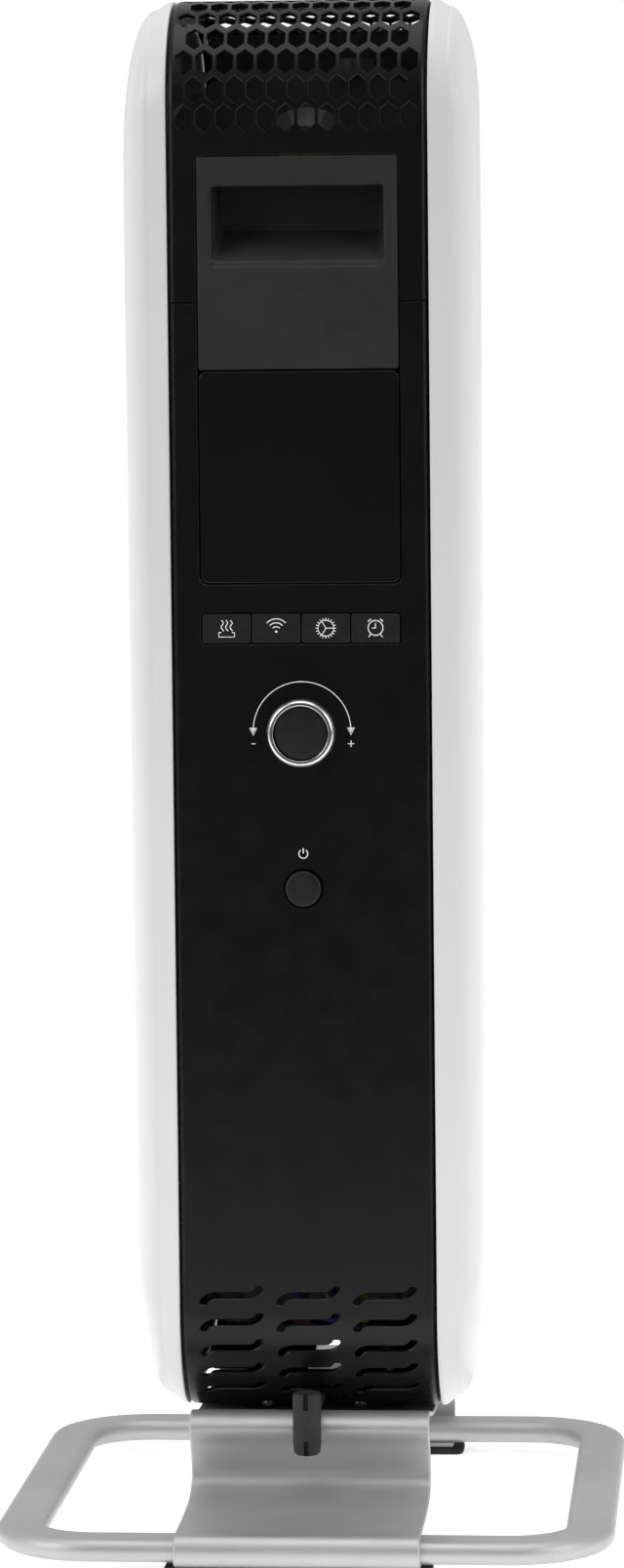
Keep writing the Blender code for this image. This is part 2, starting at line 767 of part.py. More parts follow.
def handle_insert(name, mirrored):
    """Recessed grip: a plate with a tub behind it, scooped out from the front."""
    half = PANEL_WIDTH / 2
    scoop_top = PANEL_TOP_Z - SCOOP_DROP
    scoop_bottom = scoop_top - SCOOP_HEIGHT
    roof = scoop_top + SCOOP_ROOF_RISE
    tub_top = roof + INSERT_WALL
    tub_back = SCOOP_DEPTH + INSERT_WALL
    tub_half = SCOOP_WIDTH / 2 + INSERT_WALL
    profile = [(0, PANEL_TOP_Z), (0, INSERT_BOTTOM_Z), (INSERT_WALL, INSERT_BOTTOM_Z),
               (INSERT_WALL, scoop_bottom - INSERT_WALL), (tub_back, scoop_top - TUB_BACK_HEIGHT),
               (tub_back, tub_top), (INSERT_WALL, tub_top), (INSERT_WALL, PANEL_TOP_Z)]
    floor_in, floor_up = SCOOP_FLOOR_EASE
    back_in, back_up = SCOOP_BACK_EASE
    back_low = scoop_top - SCOOP_BACK_HEIGHT
    scoop = [(-CUTTER_OVERRUN, scoop_top), (-CUTTER_OVERRUN, scoop_bottom),
             (SCOOP_FLOOR_START, scoop_bottom), (floor_in, scoop_bottom + floor_up),
             (SCOOP_DEPTH - back_in, back_low - back_up),
             (SCOOP_DEPTH, back_low), (SCOOP_DEPTH, roof), (SCOOP_LIP_REAR, roof), (SCOOP_LIP, scoop_top)]
    sign = -1 if mirrored else 1
    plane = REAR_Y if mirrored else FRONT_Y

    def at_plane(points):
        return [(plane + sign * y, z) for y, z in points]
    wing = rectangle(0, INSERT_WALL, INSERT_BOTTOM_Z, PANEL_TOP_Z)
    plate = prism(name, at_plane(wing), "X", -half, half)
    made = add_object(name, plate, charcoal_plastic())
    cut(made, prism(name + "_tub", at_plane(profile), "X", -tub_half, tub_half), "UNION")
    cut(made, prism(name + "_scoop", at_plane(scoop), "X", -SCOOP_WIDTH / 2, SCOOP_WIDTH / 2))


def display_window():
    middle = (WINDOW_TOP_Z + WINDOW_BOTTOM_Z) / 2
    half = (PANEL_WIDTH / 2, WINDOW_HEIGHT / 2)
    outline = rounded_rectangle(*half, WINDOW_CORNER, WINDOW_CORNER, 3, 0, (0, middle))
    mesh = prism("display_window", outline, "Y", FRONT_Y, FRONT_Y + WINDOW_THICKNESS)
    add_object("display_window", mesh, material("window_gloss", (0.006, 0.006, 0.007), 0.08))
    board_y = FRONT_Y + WINDOW_THICKNESS + DISPLAY_BOARD_GAP + BOARD_THICKNESS / 2
    size = (DISPLAY_BOARD_WIDTH, BOARD_THICKNESS, DISPLAY_BOARD_HEIGHT)
    add_object("display_board", box("display_board", size, (0, board_y, middle)), board_green())


# Controls --------------------------------------------------------------------------

def keys():
    half_y = KEY_THICKNESS / 2
    outline = rounded_rectangle(KEY_WIDTH / 2, KEY_HEIGHT / 2, KEY_CORNER, KEY_CORNER, 2)
    for index, name in enumerate(("heat_key", "wireless_key", "settings_key", "timer_key")):
        mesh = prism(name, outline, "Y", -half_y, half_y)
        x = (index - 1.5) * (KEY_WIDTH + KEY_GAP)
        add_object(name, mesh, charcoal_plastic(), (x, FRONT_Y + half_y, KEY_Z))


def control_board():
    """Board behind the keys, with a small switch standing behind each key."""
    middle = DIAL_Z - CONTROL_BOARD_DROP + CONTROL_BOARD_HEIGHT / 2
    size = (CONTROL_BOARD_WIDTH, BOARD_THICKNESS, CONTROL_BOARD_HEIGHT)
    board_y = BOARD_Y + BOARD_THICKNESS / 2
    made = add_object("control_board", box("control_board", size, (0, board_y, middle)), board_green())
    switch_front = FRONT_Y + KEY_THICKNESS + KEY_TRAVEL + TOUCH_GAP
    depth = BOARD_Y + BOARD_THICKNESS / 2 - switch_front
    for index in range(4):
        x = (index - 1.5) * (KEY_WIDTH + KEY_GAP)
        size = (KEY_SWITCH_SIZE, depth, KEY_SWITCH_SIZE)
        cut(made, box("key_switch", size, (x, switch_front + depth / 2, KEY_Z)), "UNION")
    hole = circle(DIAL_SHAFT_RADIUS + SHAFT_CLEARANCE, 16, (0, DIAL_Z))
    board_back = BOARD_Y + BOARD_THICKNESS
    cut(made, prism("shaft_hole", hole, "Y", BOARD_Y - CUTTER_OVERRUN, board_back + CUTTER_OVERRUN))


def dial():
    """Ring knob with a cup for the cap, on a shaft that enters the encoder."""
    face = -DIAL_STANDOUT
    back = -RUNNING_GAP
    cup = face + DIAL_CUP_DEPTH
    shaft_end = back + DIAL_SHAFT_LENGTH
    rim_in, rim_down = DIAL_RIM_CHAMFER
    cup_out, cup_down = DIAL_CUP_CHAMFER
    profile = [(0, cup), (DIAL_INNER_RADIUS, cup), (DIAL_INNER_RADIUS, face + cup_down),
               (DIAL_INNER_RADIUS + cup_out, face), (DIAL_RADIUS - rim_in, face),
               (DIAL_RADIUS, face + rim_down), (DIAL_RADIUS, back), (DIAL_SHAFT_RADIUS, back),
               (DIAL_SHAFT_RADIUS, shaft_end), (0, shaft_end)]
    silver = material("dial_silver", (0.75, 0.75, 0.76), 0.22, 1.0)
    add_object("dial_ring", turned("dial_ring", profile, 36, "Y"), silver, (0, FRONT_Y, DIAL_Z))
    cap_radius = DIAL_INNER_RADIUS - RUNNING_GAP
    rest_gap = DIAL_CAP_TRAVEL + TOUCH_GAP
    cap_back = cup - rest_gap
    cap_face = cap_back - DIAL_CAP_THICKNESS
    low, middle, high = (cap_face + fall for fall in DIAL_CAP_CROWN)
    cap = [(0, cap_face), (cap_radius * 0.6, low), (cap_radius - DIAL_CAP_EDGE, middle), (cap_radius, high),
           (cap_radius, cap_back), (0, cap_back)]
    add_object("dial_cap", turned("dial_cap", cap, 32, "Y"), charcoal_plastic(), (0, FRONT_Y, DIAL_Z))
    encoder_front = BOARD_Y + BOARD_THICKNESS + TOUCH_GAP
    centre = (0, encoder_front + ENCODER_DEPTH / 2, DIAL_Z)
    mesh = box("dial_encoder", (ENCODER_SIZE, ENCODER_DEPTH, ENCODER_SIZE), centre)
    made = add_object("dial_encoder", mesh, switch_blue())
    bore_end = FRONT_Y + shaft_end + SHAFT_END_CLEARANCE
    bore = circle(DIAL_SHAFT_RADIUS + RUNNING_GAP, 16, (0, DIAL_Z))
    cut(made, prism("encoder_bore", bore, "Y", encoder_front - CUTTER_OVERRUN, bore_end))


def power_button():
    face = -BUTTON_STANDOUT
    end = face + BUTTON_LENGTH
    near, far = BUTTON_EDGE
    profile = [(0, face), (BUTTON_RADIUS - far, face), (BUTTON_RADIUS - near, face + near),
               (BUTTON_RADIUS, face + far), (BUTTON_RADIUS, end), (0, end)]
    mesh = turned("power_button", profile, 32, "Y")
    add_object("power_button", mesh, charcoal_plastic(), (0, FRONT_Y, BUTTON_Z))
    switch_front = FRONT_Y + end + BUTTON_TRAVEL + TOUCH_GAP
    size = (SWITCH_SIZE, SWITCH_DEPTH, SWITCH_SIZE)
    mesh = box("power_switch", size, (0, switch_front + SWITCH_DEPTH / 2, BUTTON_Z))
    add_object("power_switch", mesh, switch_blue())


def heat_shields():
    """Plate between the boards and the columns, and a longer one behind the columns."""
    half = COVER_WIDTH / 2 - COVER_WALL - SHIELD_EDGE_GAP
    outline = rectangle(-half, half, BOTTOM_Z + CORNER_RADIUS, WINDOW_TOP_Z - SHIELD_TOP_GAP)
    mesh = prism("heat_shield", outline, "Y", SHIELD_Y, SHIELD_Y + SHIELD_THICKNESS)
    add_object("heat_shield", mesh, zinc_steel())
    low = BOTTOM_Z + REAR_SHIELD_BOTTOM_RISE
    high = TOP_Z - REAR_SHIELD_TOP_DROP
    front = COLUMN_LAST_Y + REAR_SHIELD_GAP
    back = front + SHIELD_THICKNESS
    mesh = prism("rear_heat_shield", rectangle(-half, half, low, high), "Y", front, back)
    made = add_object("rear_heat_shield", mesh, black_steel())
    hole = circle(PLUG_RADIUS + REAR_SHIELD_HOLE_GAP, 24, (0, UPPER_HEADER_Z))
    cut(made, prism("plug_hole", hole, "Y", front - CUTTER_OVERRUN, back + CUTTER_OVERRUN))


def electronics():
    power_z = TOP_Z - POWER_BOARD_DROP
    size = (POWER_BOARD_WIDTH, BOARD_THICKNESS, POWER_BOARD_HEIGHT)
    board_front = SHIELD_Y - POWER_BOARD_GAP - BOARD_THICKNESS
    centre = (0, board_front + BOARD_THICKNESS / 2, power_z)
    add_object("power_board", box("power_board", size, centre), board_green())
    seat = board_front - TOUCH_GAP
    relay_x, relay_rise = RELAY_PLACE
    relay = box("heater_relay", RELAY_SIZE, (relay_x, seat - RELAY_SIZE[1] / 2, power_z + relay_rise))
    add_object("heater_relay", relay, relay_black())
    terminal_centre = (0, seat - TERMINAL_SIZE[1] / 2, power_z - TERMINAL_DROP)
    terminals = box("terminal_block", TERMINAL_SIZE, terminal_centre)
    add_object("terminal_block", terminals, material("terminal_white", (0.7, 0.7, 0.68), 0.5))
    radius = SENSOR_RADIUS
    sensor = [(0, -SENSOR_TIP), (radius * 0.73, -SENSOR_TIP * 0.8), (radius, 0), (radius, SENSOR_LENGTH),
              (0, SENSOR_LENGTH)]
    x, setback, rise = SENSOR_PLACE
    add_object("room_sensor", turned("room_sensor", sensor, 14, "Z"),
               material("sensor_black", (0.02, 0.02, 0.02), 0.5), (x, FRONT_Y + setback, BOTTOM_Z + rise))


def tilt_switch():
    """Tip-over switch: a small pendulum on a pin inside an open-fronted box."""
    width, depth, height = TILT_BOX
    centre_y = SHIELD_Y - TILT_SHIELD_GAP - depth / 2
    centre = (TILT_X, centre_y, BOTTOM_Z + CORNER_RADIUS + TILT_RISE)
    made = add_object("tilt_switch_body", box("tilt_switch_body", TILT_BOX, centre),
                      material("switch_grey", (0.20, 0.20, 0.21), 0.5))
    hollow = (width - 2 * TILT_WALL, depth, height - 2 * TILT_WALL)
    cut(made, box("tilt_hollow", hollow, (centre[0], centre[1] - TILT_WALL, centre[2])))
    pin_z = centre[2] + height / 2 - TILT_WALL - TILT_PIN_DROP
    front = -depth / 2 + TILT_PIN_INSET
    back = depth / 2 - TILT_WALL - TOUCH_GAP
    pin = prism("tilt_switch_pin", circle(TILT_PIN_RADIUS, 16), "Y", front, back)
    add_object("tilt_switch_pin", pin, zinc_steel(), (centre[0], centre_y, pin_z))
    outline = pendulum_outline()
    half = PENDULUM_THICKNESS / 2
    swing = prism("tilt_pendulum", outline, "Y", -half, half)
    made = add_object("tilt_pendulum", swing, zinc_steel(), (centre[0], centre_y - PENDULUM_FORWARD, pin_z))
    eye_hole = circle(TILT_PIN_RADIUS + TOUCH_GAP, 16, (centre[0], pin_z))
    cut(made, prism("pendulum_eye", eye_hole, "Y", centre_y - depth, centre_y + depth))


def pendulum_outline():
    """Eye, straight arm and round bob, traced round from the arm's right side."""
    bob = PENDULUM_LENGTH - PENDULUM_RADIUS
    half_arm = PENDULUM_ARM / 2
    eye_start = math.acos(half_arm / PENDULUM_EYE)
    bob_start = math.acos(half_arm / PENDULUM_RADIUS)
    eye_turn = 2 * eye_start + math.pi
    bob_turn = 2 * bob_start + math.pi
    points = []
    for i in range(17):
        angle = -eye_start + eye_turn * i / 16
        points.append((PENDULUM_EYE * math.cos(angle), PENDULUM_EYE * math.sin(angle)))
    for i in range(19):
        angle = math.pi - bob_start + bob_turn * i / 18
        points.append((PENDULUM_RADIUS * math.cos(angle), -bob + PENDULUM_RADIUS * math.sin(angle)))
    return points


# Oil columns -------------------------------------------------------------------------

def column_mesh():
    """Pressed column: plate with flutes and two header bosses, bored for the oil way."""
    middle = (COLUMN_TOP_Z + COLUMN_BOTTOM_Z) / 2
    half_height = (COLUMN_TOP_Z - COLUMN_BOTTOM_Z) / 2
    centre = (0, middle)
    outline = rounded_rectangle(COLUMN_WIDTH / 2, half_height, COLUMN_CORNER, COLUMN_CORNER, 4, 0, centre)
    blank = prism("column_work", outline, "Y", -COLUMN_PLATE / 2, COLUMN_PLATE / 2)
    plate = add_object("column_work", blank, grey_enamel())
    reach = (COLUMN_PITCH - TOUCH_GAP) / 2
    tools = []
    for z in (UPPER_HEADER_Z, LOWER_HEADER_Z):
        face = HEADER_RADIUS * BOSS_FACE_SHARE
        profile = [(0, -reach), (face, -reach), (HEADER_RADIUS, -COLUMN_PLATE / 2),
                   (HEADER_RADIUS, COLUMN_PLATE / 2), (face, reach), (0, reach)]
        boss = turned("boss", profile, 16, "Y")
        boss.transform(Matrix.Translation((0, 0, z)))
        tools.append(cut(plate, boss, "UNION"))
    flute_top = UPPER_HEADER_Z + FLUTE_END_OVERLAP
    flute_bottom = LOWER_HEADER_Z - FLUTE_END_OVERLAP
    bulge = COLUMN_PLATE / 2 + FLUTE_BULGE
    for index in (-1, 0, 1):
        x = index * FLUTE_PITCH
        half = FLUTE_WIDTH / 2
        section = [(x - half, 0), (x - half * 0.5, bulge), (x + half * 0.5, bulge), (x + half, 0),
                   (x + half * 0.5, -bulge), (x - half * 0.5, -bulge)]
        tools.append(cut(plate, prism("flute", section, "Z", flute_bottom, flute_top), "UNION"))
    for z in (UPPER_HEADER_Z, LOWER_HEADER_Z):
        bore = circle(HEADER_BORE, 14, (0, z))
        tools.append(cut(plate, prism("oil_way", bore, "Y", -COLUMN_PITCH, COLUMN_PITCH)))
    shaped = plate.evaluated_get(bpy.context.evaluated_depsgraph_get())
    mesh = bpy.data.meshes.new_from_object(shaped)
    mesh.name = "oil_column"
    for helper in tools + [plate]:
        bpy.data.objects.remove(helper, do_unlink=True)
    return mesh


def column_y(index):
    return COLUMN_FIRST_Y + COLUMN_PITCH * (index + 0.5)


def oil_columns():
    mesh = column_mesh()
    for index in range(COLUMN_COUNT):
        add_object("oil_column_%d" % (index + 1), mesh, grey_enamel(), (0, column_y(index), 0))
    front_face = COLUMN_FIRST_Y + TOUCH_GAP / 2
    rear_face = COLUMN_LAST_Y - TOUCH_GAP / 2
    rod_end = rear_face - ELEMENT_END_GAP
    section = circle(ELEMENT_RADIUS, 16, (0, LOWER_HEADER_Z))
    add_object("heating_element", prism("heating_element", section, "Y", front_face, rod_end), zinc_steel())
    flange_back = front_face - TOUCH_GAP
    wide = FLANGE_RADIUS * BOSS_FACE_SHARE
    flange = [(0, -FLANGE_THICKNESS), (FLANGE_RADIUS * 0.5, -FLANGE_THICKNESS), (wide, -FLANGE_STEP),
              (wide, 0), (0, 0)]
    add_object("element_flange", turned("element_flange", flange, 6, "Y"),
               brass(), (0, flange_back, LOWER_HEADER_Z))
    plug = [(0, -PLUG_THICKNESS), (PLUG_RADIUS, -PLUG_THICKNESS), (PLUG_RADIUS, 0), (0, 0)]
    places = (("oil_fill_plug", front_face - TOUCH_GAP, 1), ("header_plug", rear_face + TOUCH_GAP, -1))
    for name, y, turn in places:
        points = [(r, turn * h) for r, h in plug]
        add_object(name, turned(name, points, 6, "Y"), brass(), (0, y, UPPER_HEADER_Z))
    seat_z = COLUMN_TOP_Z + TOUCH_GAP
    can = [(0, 0), (CUTOUT_RADIUS, 0), (CUTOUT_RADIUS, CUTOUT_HEIGHT), (0, CUTOUT_HEIGHT)]
    cutout = turned("thermal_cutout", can, 18, "Z")
    add_object("thermal_cutout", cutout, relay_black(), (CUTOUT_X, column_y(0), seat_z))


def casing_brackets():
    """Cross straps that hold both casings, above and below the columns."""
    y = column_y(1) + 0.5 * COLUMN_PITCH
    half_depth = STRAP_DEPTH / 2
    thick = STRAP_THICKNESS
    ear = STRAP_EAR
    for name, z, turn in (("upper_casing_bracket", COLUMN_TOP_Z + STRAP_OFFSET, 1),
                          ("lower_casing_bracket", COLUMN_BOTTOM_Z - STRAP_OFFSET, -1)):
        reach = casing_reach(y + half_depth, z + turn * thick) - RUNNING_GAP - TOUCH_GAP
        outline = [(-reach, 0), (reach, 0), (reach, -ear), (reach - thick, -ear), (reach - thick, -thick),
                   (-reach + thick, -thick), (-reach + thick, -ear), (-reach, -ear)]
        points = [(x, z + turn * (thick + v)) for x, v in outline]
        add_object(name, prism(name, points, "Y", y - half_depth, y + half_depth), zinc_steel())


# Base --------------------------------------------------------------------------------

def loop_path(steps):
    """Centre line of the base tube, as points with the direction across the tube."""
    half_x = (BASE_WIDTH - TUBE_WIDTH) / 2
    half_y = (BASE_DEPTH - TUBE_WIDTH) / 2
    radius = TUBE_CORNER - TUBE_WIDTH / 2
    path = []
    for index, (sign_x, sign_y) in enumerate(((1, 1), (-1, 1), (-1, -1), (1, -1))):
        for i in range(steps + 1):
            angle = math.pi / 2 * (index + i / steps)
            out = (math.cos(angle), math.sin(angle))
            x = sign_x * (half_x - radius) + radius * out[0]
            y = sign_y * (half_y - radius) + radius * out[1]
            path.append((x, y, out))
    return path


def base_loop():
    """Flat-oval tube bent into a closed loop."""
    end_radius = TUBE_HEIGHT / 2
    flat = TUBE_WIDTH / 2 - end_radius
    section = []
    for sign in (1, -1):
        for i in range(7):
            angle = math.pi * (i / 6 - 0.5) + (0 if sign > 0 else math.pi)
            section.append((sign * flat + end_radius * math.cos(angle), end_radius * math.sin(angle)))
    middle = TUBE_BOTTOM_Z + TUBE_HEIGHT / 2
    rings = []
    for x, y, out in loop_path(7):
        rings.append([(x + u * out[0], y + u * out[1], middle + v) for u, v in section])
    add_object("base_loop", loft("base_loop", rings, closed=True), satin_aluminium(), sharp=50)


def smooth_line(points, samples):
    """Catmull-Rom curve through the points."""
    padded = [points[0]] + points + [points[-1]]
    line = []
    for a, b, c, d in zip(padded, padded[1:], padded[2:], padded[3:]):
        for i in range(samples):
            t = i / samples
            line.append(tuple(0.5 * (2 * q + (r - p) * t + (2 * p - 5 * q + 4 * r - s) * t ** 2
                                     + (3 * q - p - 3 * r + s) * t ** 3)
                              for p, q, r, s in zip(a, b, c, d)))
    line.append(points[-1])
    return line


def hook(edge_y, side, start_angle, end_angle, steps):
    """Arc stretch of the sheet round one end of the tube section."""
    end_radius = TUBE_HEIGHT / 2
    offset = end_radius + TOUCH_GAP + SHEET_THICKNESS / 2
    centre = (edge_y - side * end_radius, TUBE_BOTTOM_Z + end_radius)
    points = []
    for i in range(steps + 1):
        angle = math.radians(start_angle + (end_angle - start_angle) * i / steps)
        points.append((centre[0] + side * offset * math.cos(angle), centre[1] + offset * math.sin(angle)))
    return points


def sheet_line():
    """Centre line of the base sheet: front hook, waist, bulge, seat under the body, rear hook."""
    front = -BASE_DEPTH / 2
    rear = BASE_DEPTH / 2
    under_z = SHEET_BOTTOM_Z + SHEET_THICKNESS / 2
    over_z = TUBE_TOP_Z + TOUCH_GAP + SHEET_THICKNESS / 2
    seat_z = SHEET_TOP_Z - SHEET_THICKNESS / 2
    waist = front + SHEET_WAIST_SETBACK
    bulge = front + SHEET_BULGE_SETBACK
    seat_start = FRONT_Y + CORNER_RADIUS
    start = [(front + TUBE_WIDTH - SHEET_HOOK_OVERLAP, under_z)]
    shape = [(front + 0.014, over_z), (waist - 0.030, over_z + 0.0004), (waist - 0.009, over_z + 0.0026),
             (waist, over_z + 0.0095), (waist - 0.0035, seat_z - 0.0075), (bulge, seat_z + 0.0005),
             (bulge + 0.006, seat_z + 0.0058), (bulge + 0.016, seat_z + 0.0045),
             (seat_start - 0.016, seat_z + 0.0013), (seat_start, seat_z)]
    drop = rear + TOUCH_GAP + SHEET_THICKNESS / 2
    bend = SHEET_REAR_BEND
    turns = [math.radians(15 * i) for i in range(7)]
    corner = [(drop - bend + bend * math.sin(a), seat_z - bend + bend * math.cos(a)) for a in turns]
    end = [(rear - TUBE_WIDTH + SHEET_HOOK_OVERLAP, under_z)]
    front_hook = hook(front, -1, -90, 90, 8)
    rear_hook = hook(rear, 1, 0, -90, 4)
    return start + front_hook + smooth_line(shape, 5) + corner + rear_hook + end


def thicken(line, thickness):
    """Closed outline on both sides of a centre line."""
    left, right = [], []
    for i, point in enumerate(line):
        before = Vector(line[max(i - 1, 0)])
        after = Vector(line[min(i + 1, len(line) - 1)])
        along = (after - before).normalized()
        across = Vector((-along.y, along.x)) * thickness / 2
        left.append(tuple(Vector(point) + across))
        right.append(tuple(Vector(point) - across))
    return left + right[::-1]


def bolt_places():
    y = MIDDLE_Y
    return [(-BOLT_SPACING / 2, y), (BOLT_SPACING / 2, y)]


def base_sheet():
    outline = thicken(sheet_line(), SHEET_THICKNESS)
    mesh = prism("base_sheet", outline, "X", -SHEET_WIDTH / 2, SHEET_WIDTH / 2)
    made = add_object("base_sheet", mesh, satin_aluminium(), sharp=40)
    low = SHEET_TOP_Z - SHEET_THICKNESS - CUTTER_OVERRUN
    for centre in bolt_places():
        hole = circle(BOLT_RADIUS + RUNNING_GAP, 16, centre)
        cut(made, prism("bolt_hole", hole, "Z", low, SHEET_TOP_Z + CUTTER_OVERRUN))


def glide_pads():
    for name, side in (("front_glide_pad", -1), ("rear_glide_pad", 1)):
        y = side * (BASE_DEPTH / 2 - TUBE_WIDTH / 2)
        outline = rounded_rectangle(PAD_WIDTH / 2, PAD_DEPTH / 2, PAD_CORNER, PAD_CORNER, 3, 0, (0, y))
        rubber = material("rubber", (0.03, 0.03, 0.03), 0.85)
        add_object(name, prism(name, outline, "Z", 0.0, PAD_THICKNESS), rubber)


def chassis_foot():
    """Inverted channel between the sheet and the columns, bolted through the sheet."""
    low = SHEET_TOP_Z + TOUCH_GAP
    high = COLUMN_BOTTOM_Z - FOOT_TOP_GAP
    half = FOOT_WIDTH / 2
    wall = FOOT_WALL
    web = half - wall - FOOT_FLANGE
    outline = [(-half, low), (half, low), (half, low + wall), (web, low + wall), (web, high), (-web, high),
               (-web, low + wall), (-half, low + wall)]
    mesh = prism("chassis_foot", outline, "Y", MIDDLE_Y - FOOT_DEPTH / 2, MIDDLE_Y + FOOT_DEPTH / 2)
    made = add_object("chassis_foot", mesh, zinc_steel())
    inner = rectangle(-web + wall, web - wall, low + wall, high - wall)
    cut(made, prism("foot_hollow", inner, "Y", MIDDLE_Y - FOOT_DEPTH, MIDDLE_Y + FOOT_DEPTH))
    for centre in bolt_places():
        hole = circle(BOLT_RADIUS + RUNNING_GAP, 16, centre)
        cut(made, prism("foot_hole", hole, "Z", low - CUTTER_OVERRUN, low + wall + CUTTER_OVERRUN))
    under = SHEET_TOP_Z - SHEET_THICKNESS - TOUCH_GAP
    tip = low + wall + BOLT_STANDOUT
    profile = [(0, under - BOLT_HEAD_HEIGHT), (BOLT_HEAD_RADIUS * 0.8, under - BOLT_HEAD_HEIGHT),
               (BOLT_HEAD_RADIUS, under - BOLT_HEAD_HEIGHT * 0.5), (BOLT_HEAD_RADIUS, under),
               (BOLT_RADIUS, under), (BOLT_RADIUS, tip), (0, tip)]
    for name, (x, y) in zip(("left_base_bolt", "right_base_bolt"), bolt_places()):
        add_object(name, turned(name, profile, 18, "Z"), zinc_steel(), (x, y, 0))


# Gland and screws ----------------------------------------------------------------------

def cord_gland():
    """Split boot that points down in front of the sheet, held by a flat neck through the notch."""
    axis_y = FRONT_Y - GLAND_FORWARD
    top = NECK_TOP_Z + GLAND_RISE
    bottom = top - GLAND_LENGTH
    deep, slight, rise = GLAND_LOWER_EDGE
    edge = GLAND_UPPER_EDGE
    profile = [(0, bottom - GLAND_END_CROWN), (GLAND_RADIUS - deep, bottom),
               (GLAND_RADIUS - slight, bottom + deep), (GLAND_RADIUS, bottom + rise),
               (GLAND_RADIUS, top - edge), (GLAND_RADIUS - edge, top), (0, top)]
    mesh = turned("cord_gland", profile, 28, "Z")
    made = add_object("cord_gland", mesh, charcoal_plastic(), (0, axis_y, 0))
    inner_end = FRONT_Y + NECK_INSIDE
    neck = box("neck", (NECK_WIDTH, inner_end - axis_y, NECK_THICKNESS),
               (0, (inner_end + axis_y) / 2, NECK_TOP_Z - NECK_THICKNESS / 2))
    cut(made, neck, "UNION")
    for low, high in ((bottom - CUTTER_OVERRUN, bottom + GLAND_LOWER_SLIT),
                      (top - GLAND_UPPER_SLIT, top + CUTTER_OVERRUN)):
        size = (GLAND_SLIT, 2 * GLAND_SLIT_DEPTH, high - low)
        cut(made, box("slit", size, (0, axis_y - GLAND_RADIUS, (low + high) / 2)))


def cover_screws():
    """Cross-slotted screws through the underside of each end cover."""
    s = LOWER_ARC_END - SCREW_ARC
    seat = outline_point(s, -TOUCH_GAP)
    inner = outline_point(s, SCREW_LENGTH)
    along = (Vector(inner) - Vector(seat)).normalized()
    profile = [(0, -SCREW_HEAD_HEIGHT), (SCREW_HEAD_RADIUS * 0.7, -SCREW_HEAD_HEIGHT),
               (SCREW_HEAD_RADIUS, -SCREW_HEAD_HEIGHT * 0.4), (SCREW_HEAD_RADIUS, 0),
               (SCREW_SHANK_RADIUS, 0), (SCREW_SHANK_RADIUS, SCREW_LENGTH), (0, SCREW_LENGTH)]
    for end, sign in (("front", 1), ("rear", -1)):
        for hand, side in (("left", -1), ("right", 1)):
            name = "%s_%s_screw" % (end, hand)
            mesh = turned(name, profile, 18, "Z")
            y = MIDDLE_Y + sign * (seat[0] - MIDDLE_Y)
            made = add_object(name, mesh, black_steel(), (side * SCREW_SPACING / 2, y, seat[1]))
            made.rotation_euler = (-sign * math.atan2(along.x, along.y), 0, 0)
            long, narrow, deep = SCREW_SLOT
            for across in ((long, narrow, deep), (narrow, long, deep)):
                slot = cut(made, box("slot", across, (0, 0, -SCREW_HEAD_HEIGHT)))
                slot.parent = made


def build():
    clear_scene()
    base_loop()
    base_sheet()
    glide_pads()
    chassis_foot()
    casing("left_casing", -1)
    casing("right_casing", 1)
    front_cover()
    rear_cover()
    top_grille()
    handle_insert("front_handle_insert", False)
    handle_insert("rear_handle_insert", True)
    display_window()
    keys()
    control_board()
    dial()
    power_button()
    heat_shields()
    electronics()
    tilt_switch()
    oil_columns()
    casing_brackets()
    cord_gland()
    cover_screws()


build()
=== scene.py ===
"""Looks of the oil filled radiator heater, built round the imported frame."""
import json
import math

import bmesh
import bpy
from mathutils import Matrix, Vector
from mathutils.geometry import delaunay_2d_cdt


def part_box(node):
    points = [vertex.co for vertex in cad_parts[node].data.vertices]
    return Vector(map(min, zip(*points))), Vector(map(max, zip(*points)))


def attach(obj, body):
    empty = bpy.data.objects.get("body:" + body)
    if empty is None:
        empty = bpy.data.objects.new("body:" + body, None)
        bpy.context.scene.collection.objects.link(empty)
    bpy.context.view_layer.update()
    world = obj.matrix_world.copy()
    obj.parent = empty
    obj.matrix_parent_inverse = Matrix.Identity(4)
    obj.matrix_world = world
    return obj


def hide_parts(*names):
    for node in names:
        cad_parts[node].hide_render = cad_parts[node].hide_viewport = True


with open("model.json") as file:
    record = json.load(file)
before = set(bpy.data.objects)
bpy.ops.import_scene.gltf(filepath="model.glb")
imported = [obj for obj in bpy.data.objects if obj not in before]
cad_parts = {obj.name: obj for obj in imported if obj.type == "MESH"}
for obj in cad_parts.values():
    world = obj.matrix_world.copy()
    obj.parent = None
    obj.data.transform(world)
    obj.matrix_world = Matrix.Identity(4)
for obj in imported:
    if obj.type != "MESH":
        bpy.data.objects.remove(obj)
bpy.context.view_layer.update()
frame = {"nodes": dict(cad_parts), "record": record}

ROOT = "heater"

# Places read from the frame
casing_low, casing_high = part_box("left_casing")
grille_low, grille_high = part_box("top_grille")
insert_low, insert_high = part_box("front_handle_insert")
window_low, window_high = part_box("display_window")
loop_low, loop_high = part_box("base_loop")
sheet_low, sheet_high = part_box("base_sheet")
dial_low, dial_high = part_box("dial_ring")
cap_low, cap_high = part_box("dial_cap")
button_low, button_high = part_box("power_button")
gland_low, gland_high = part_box("cord_gland")
key_low, key_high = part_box("heat_key")

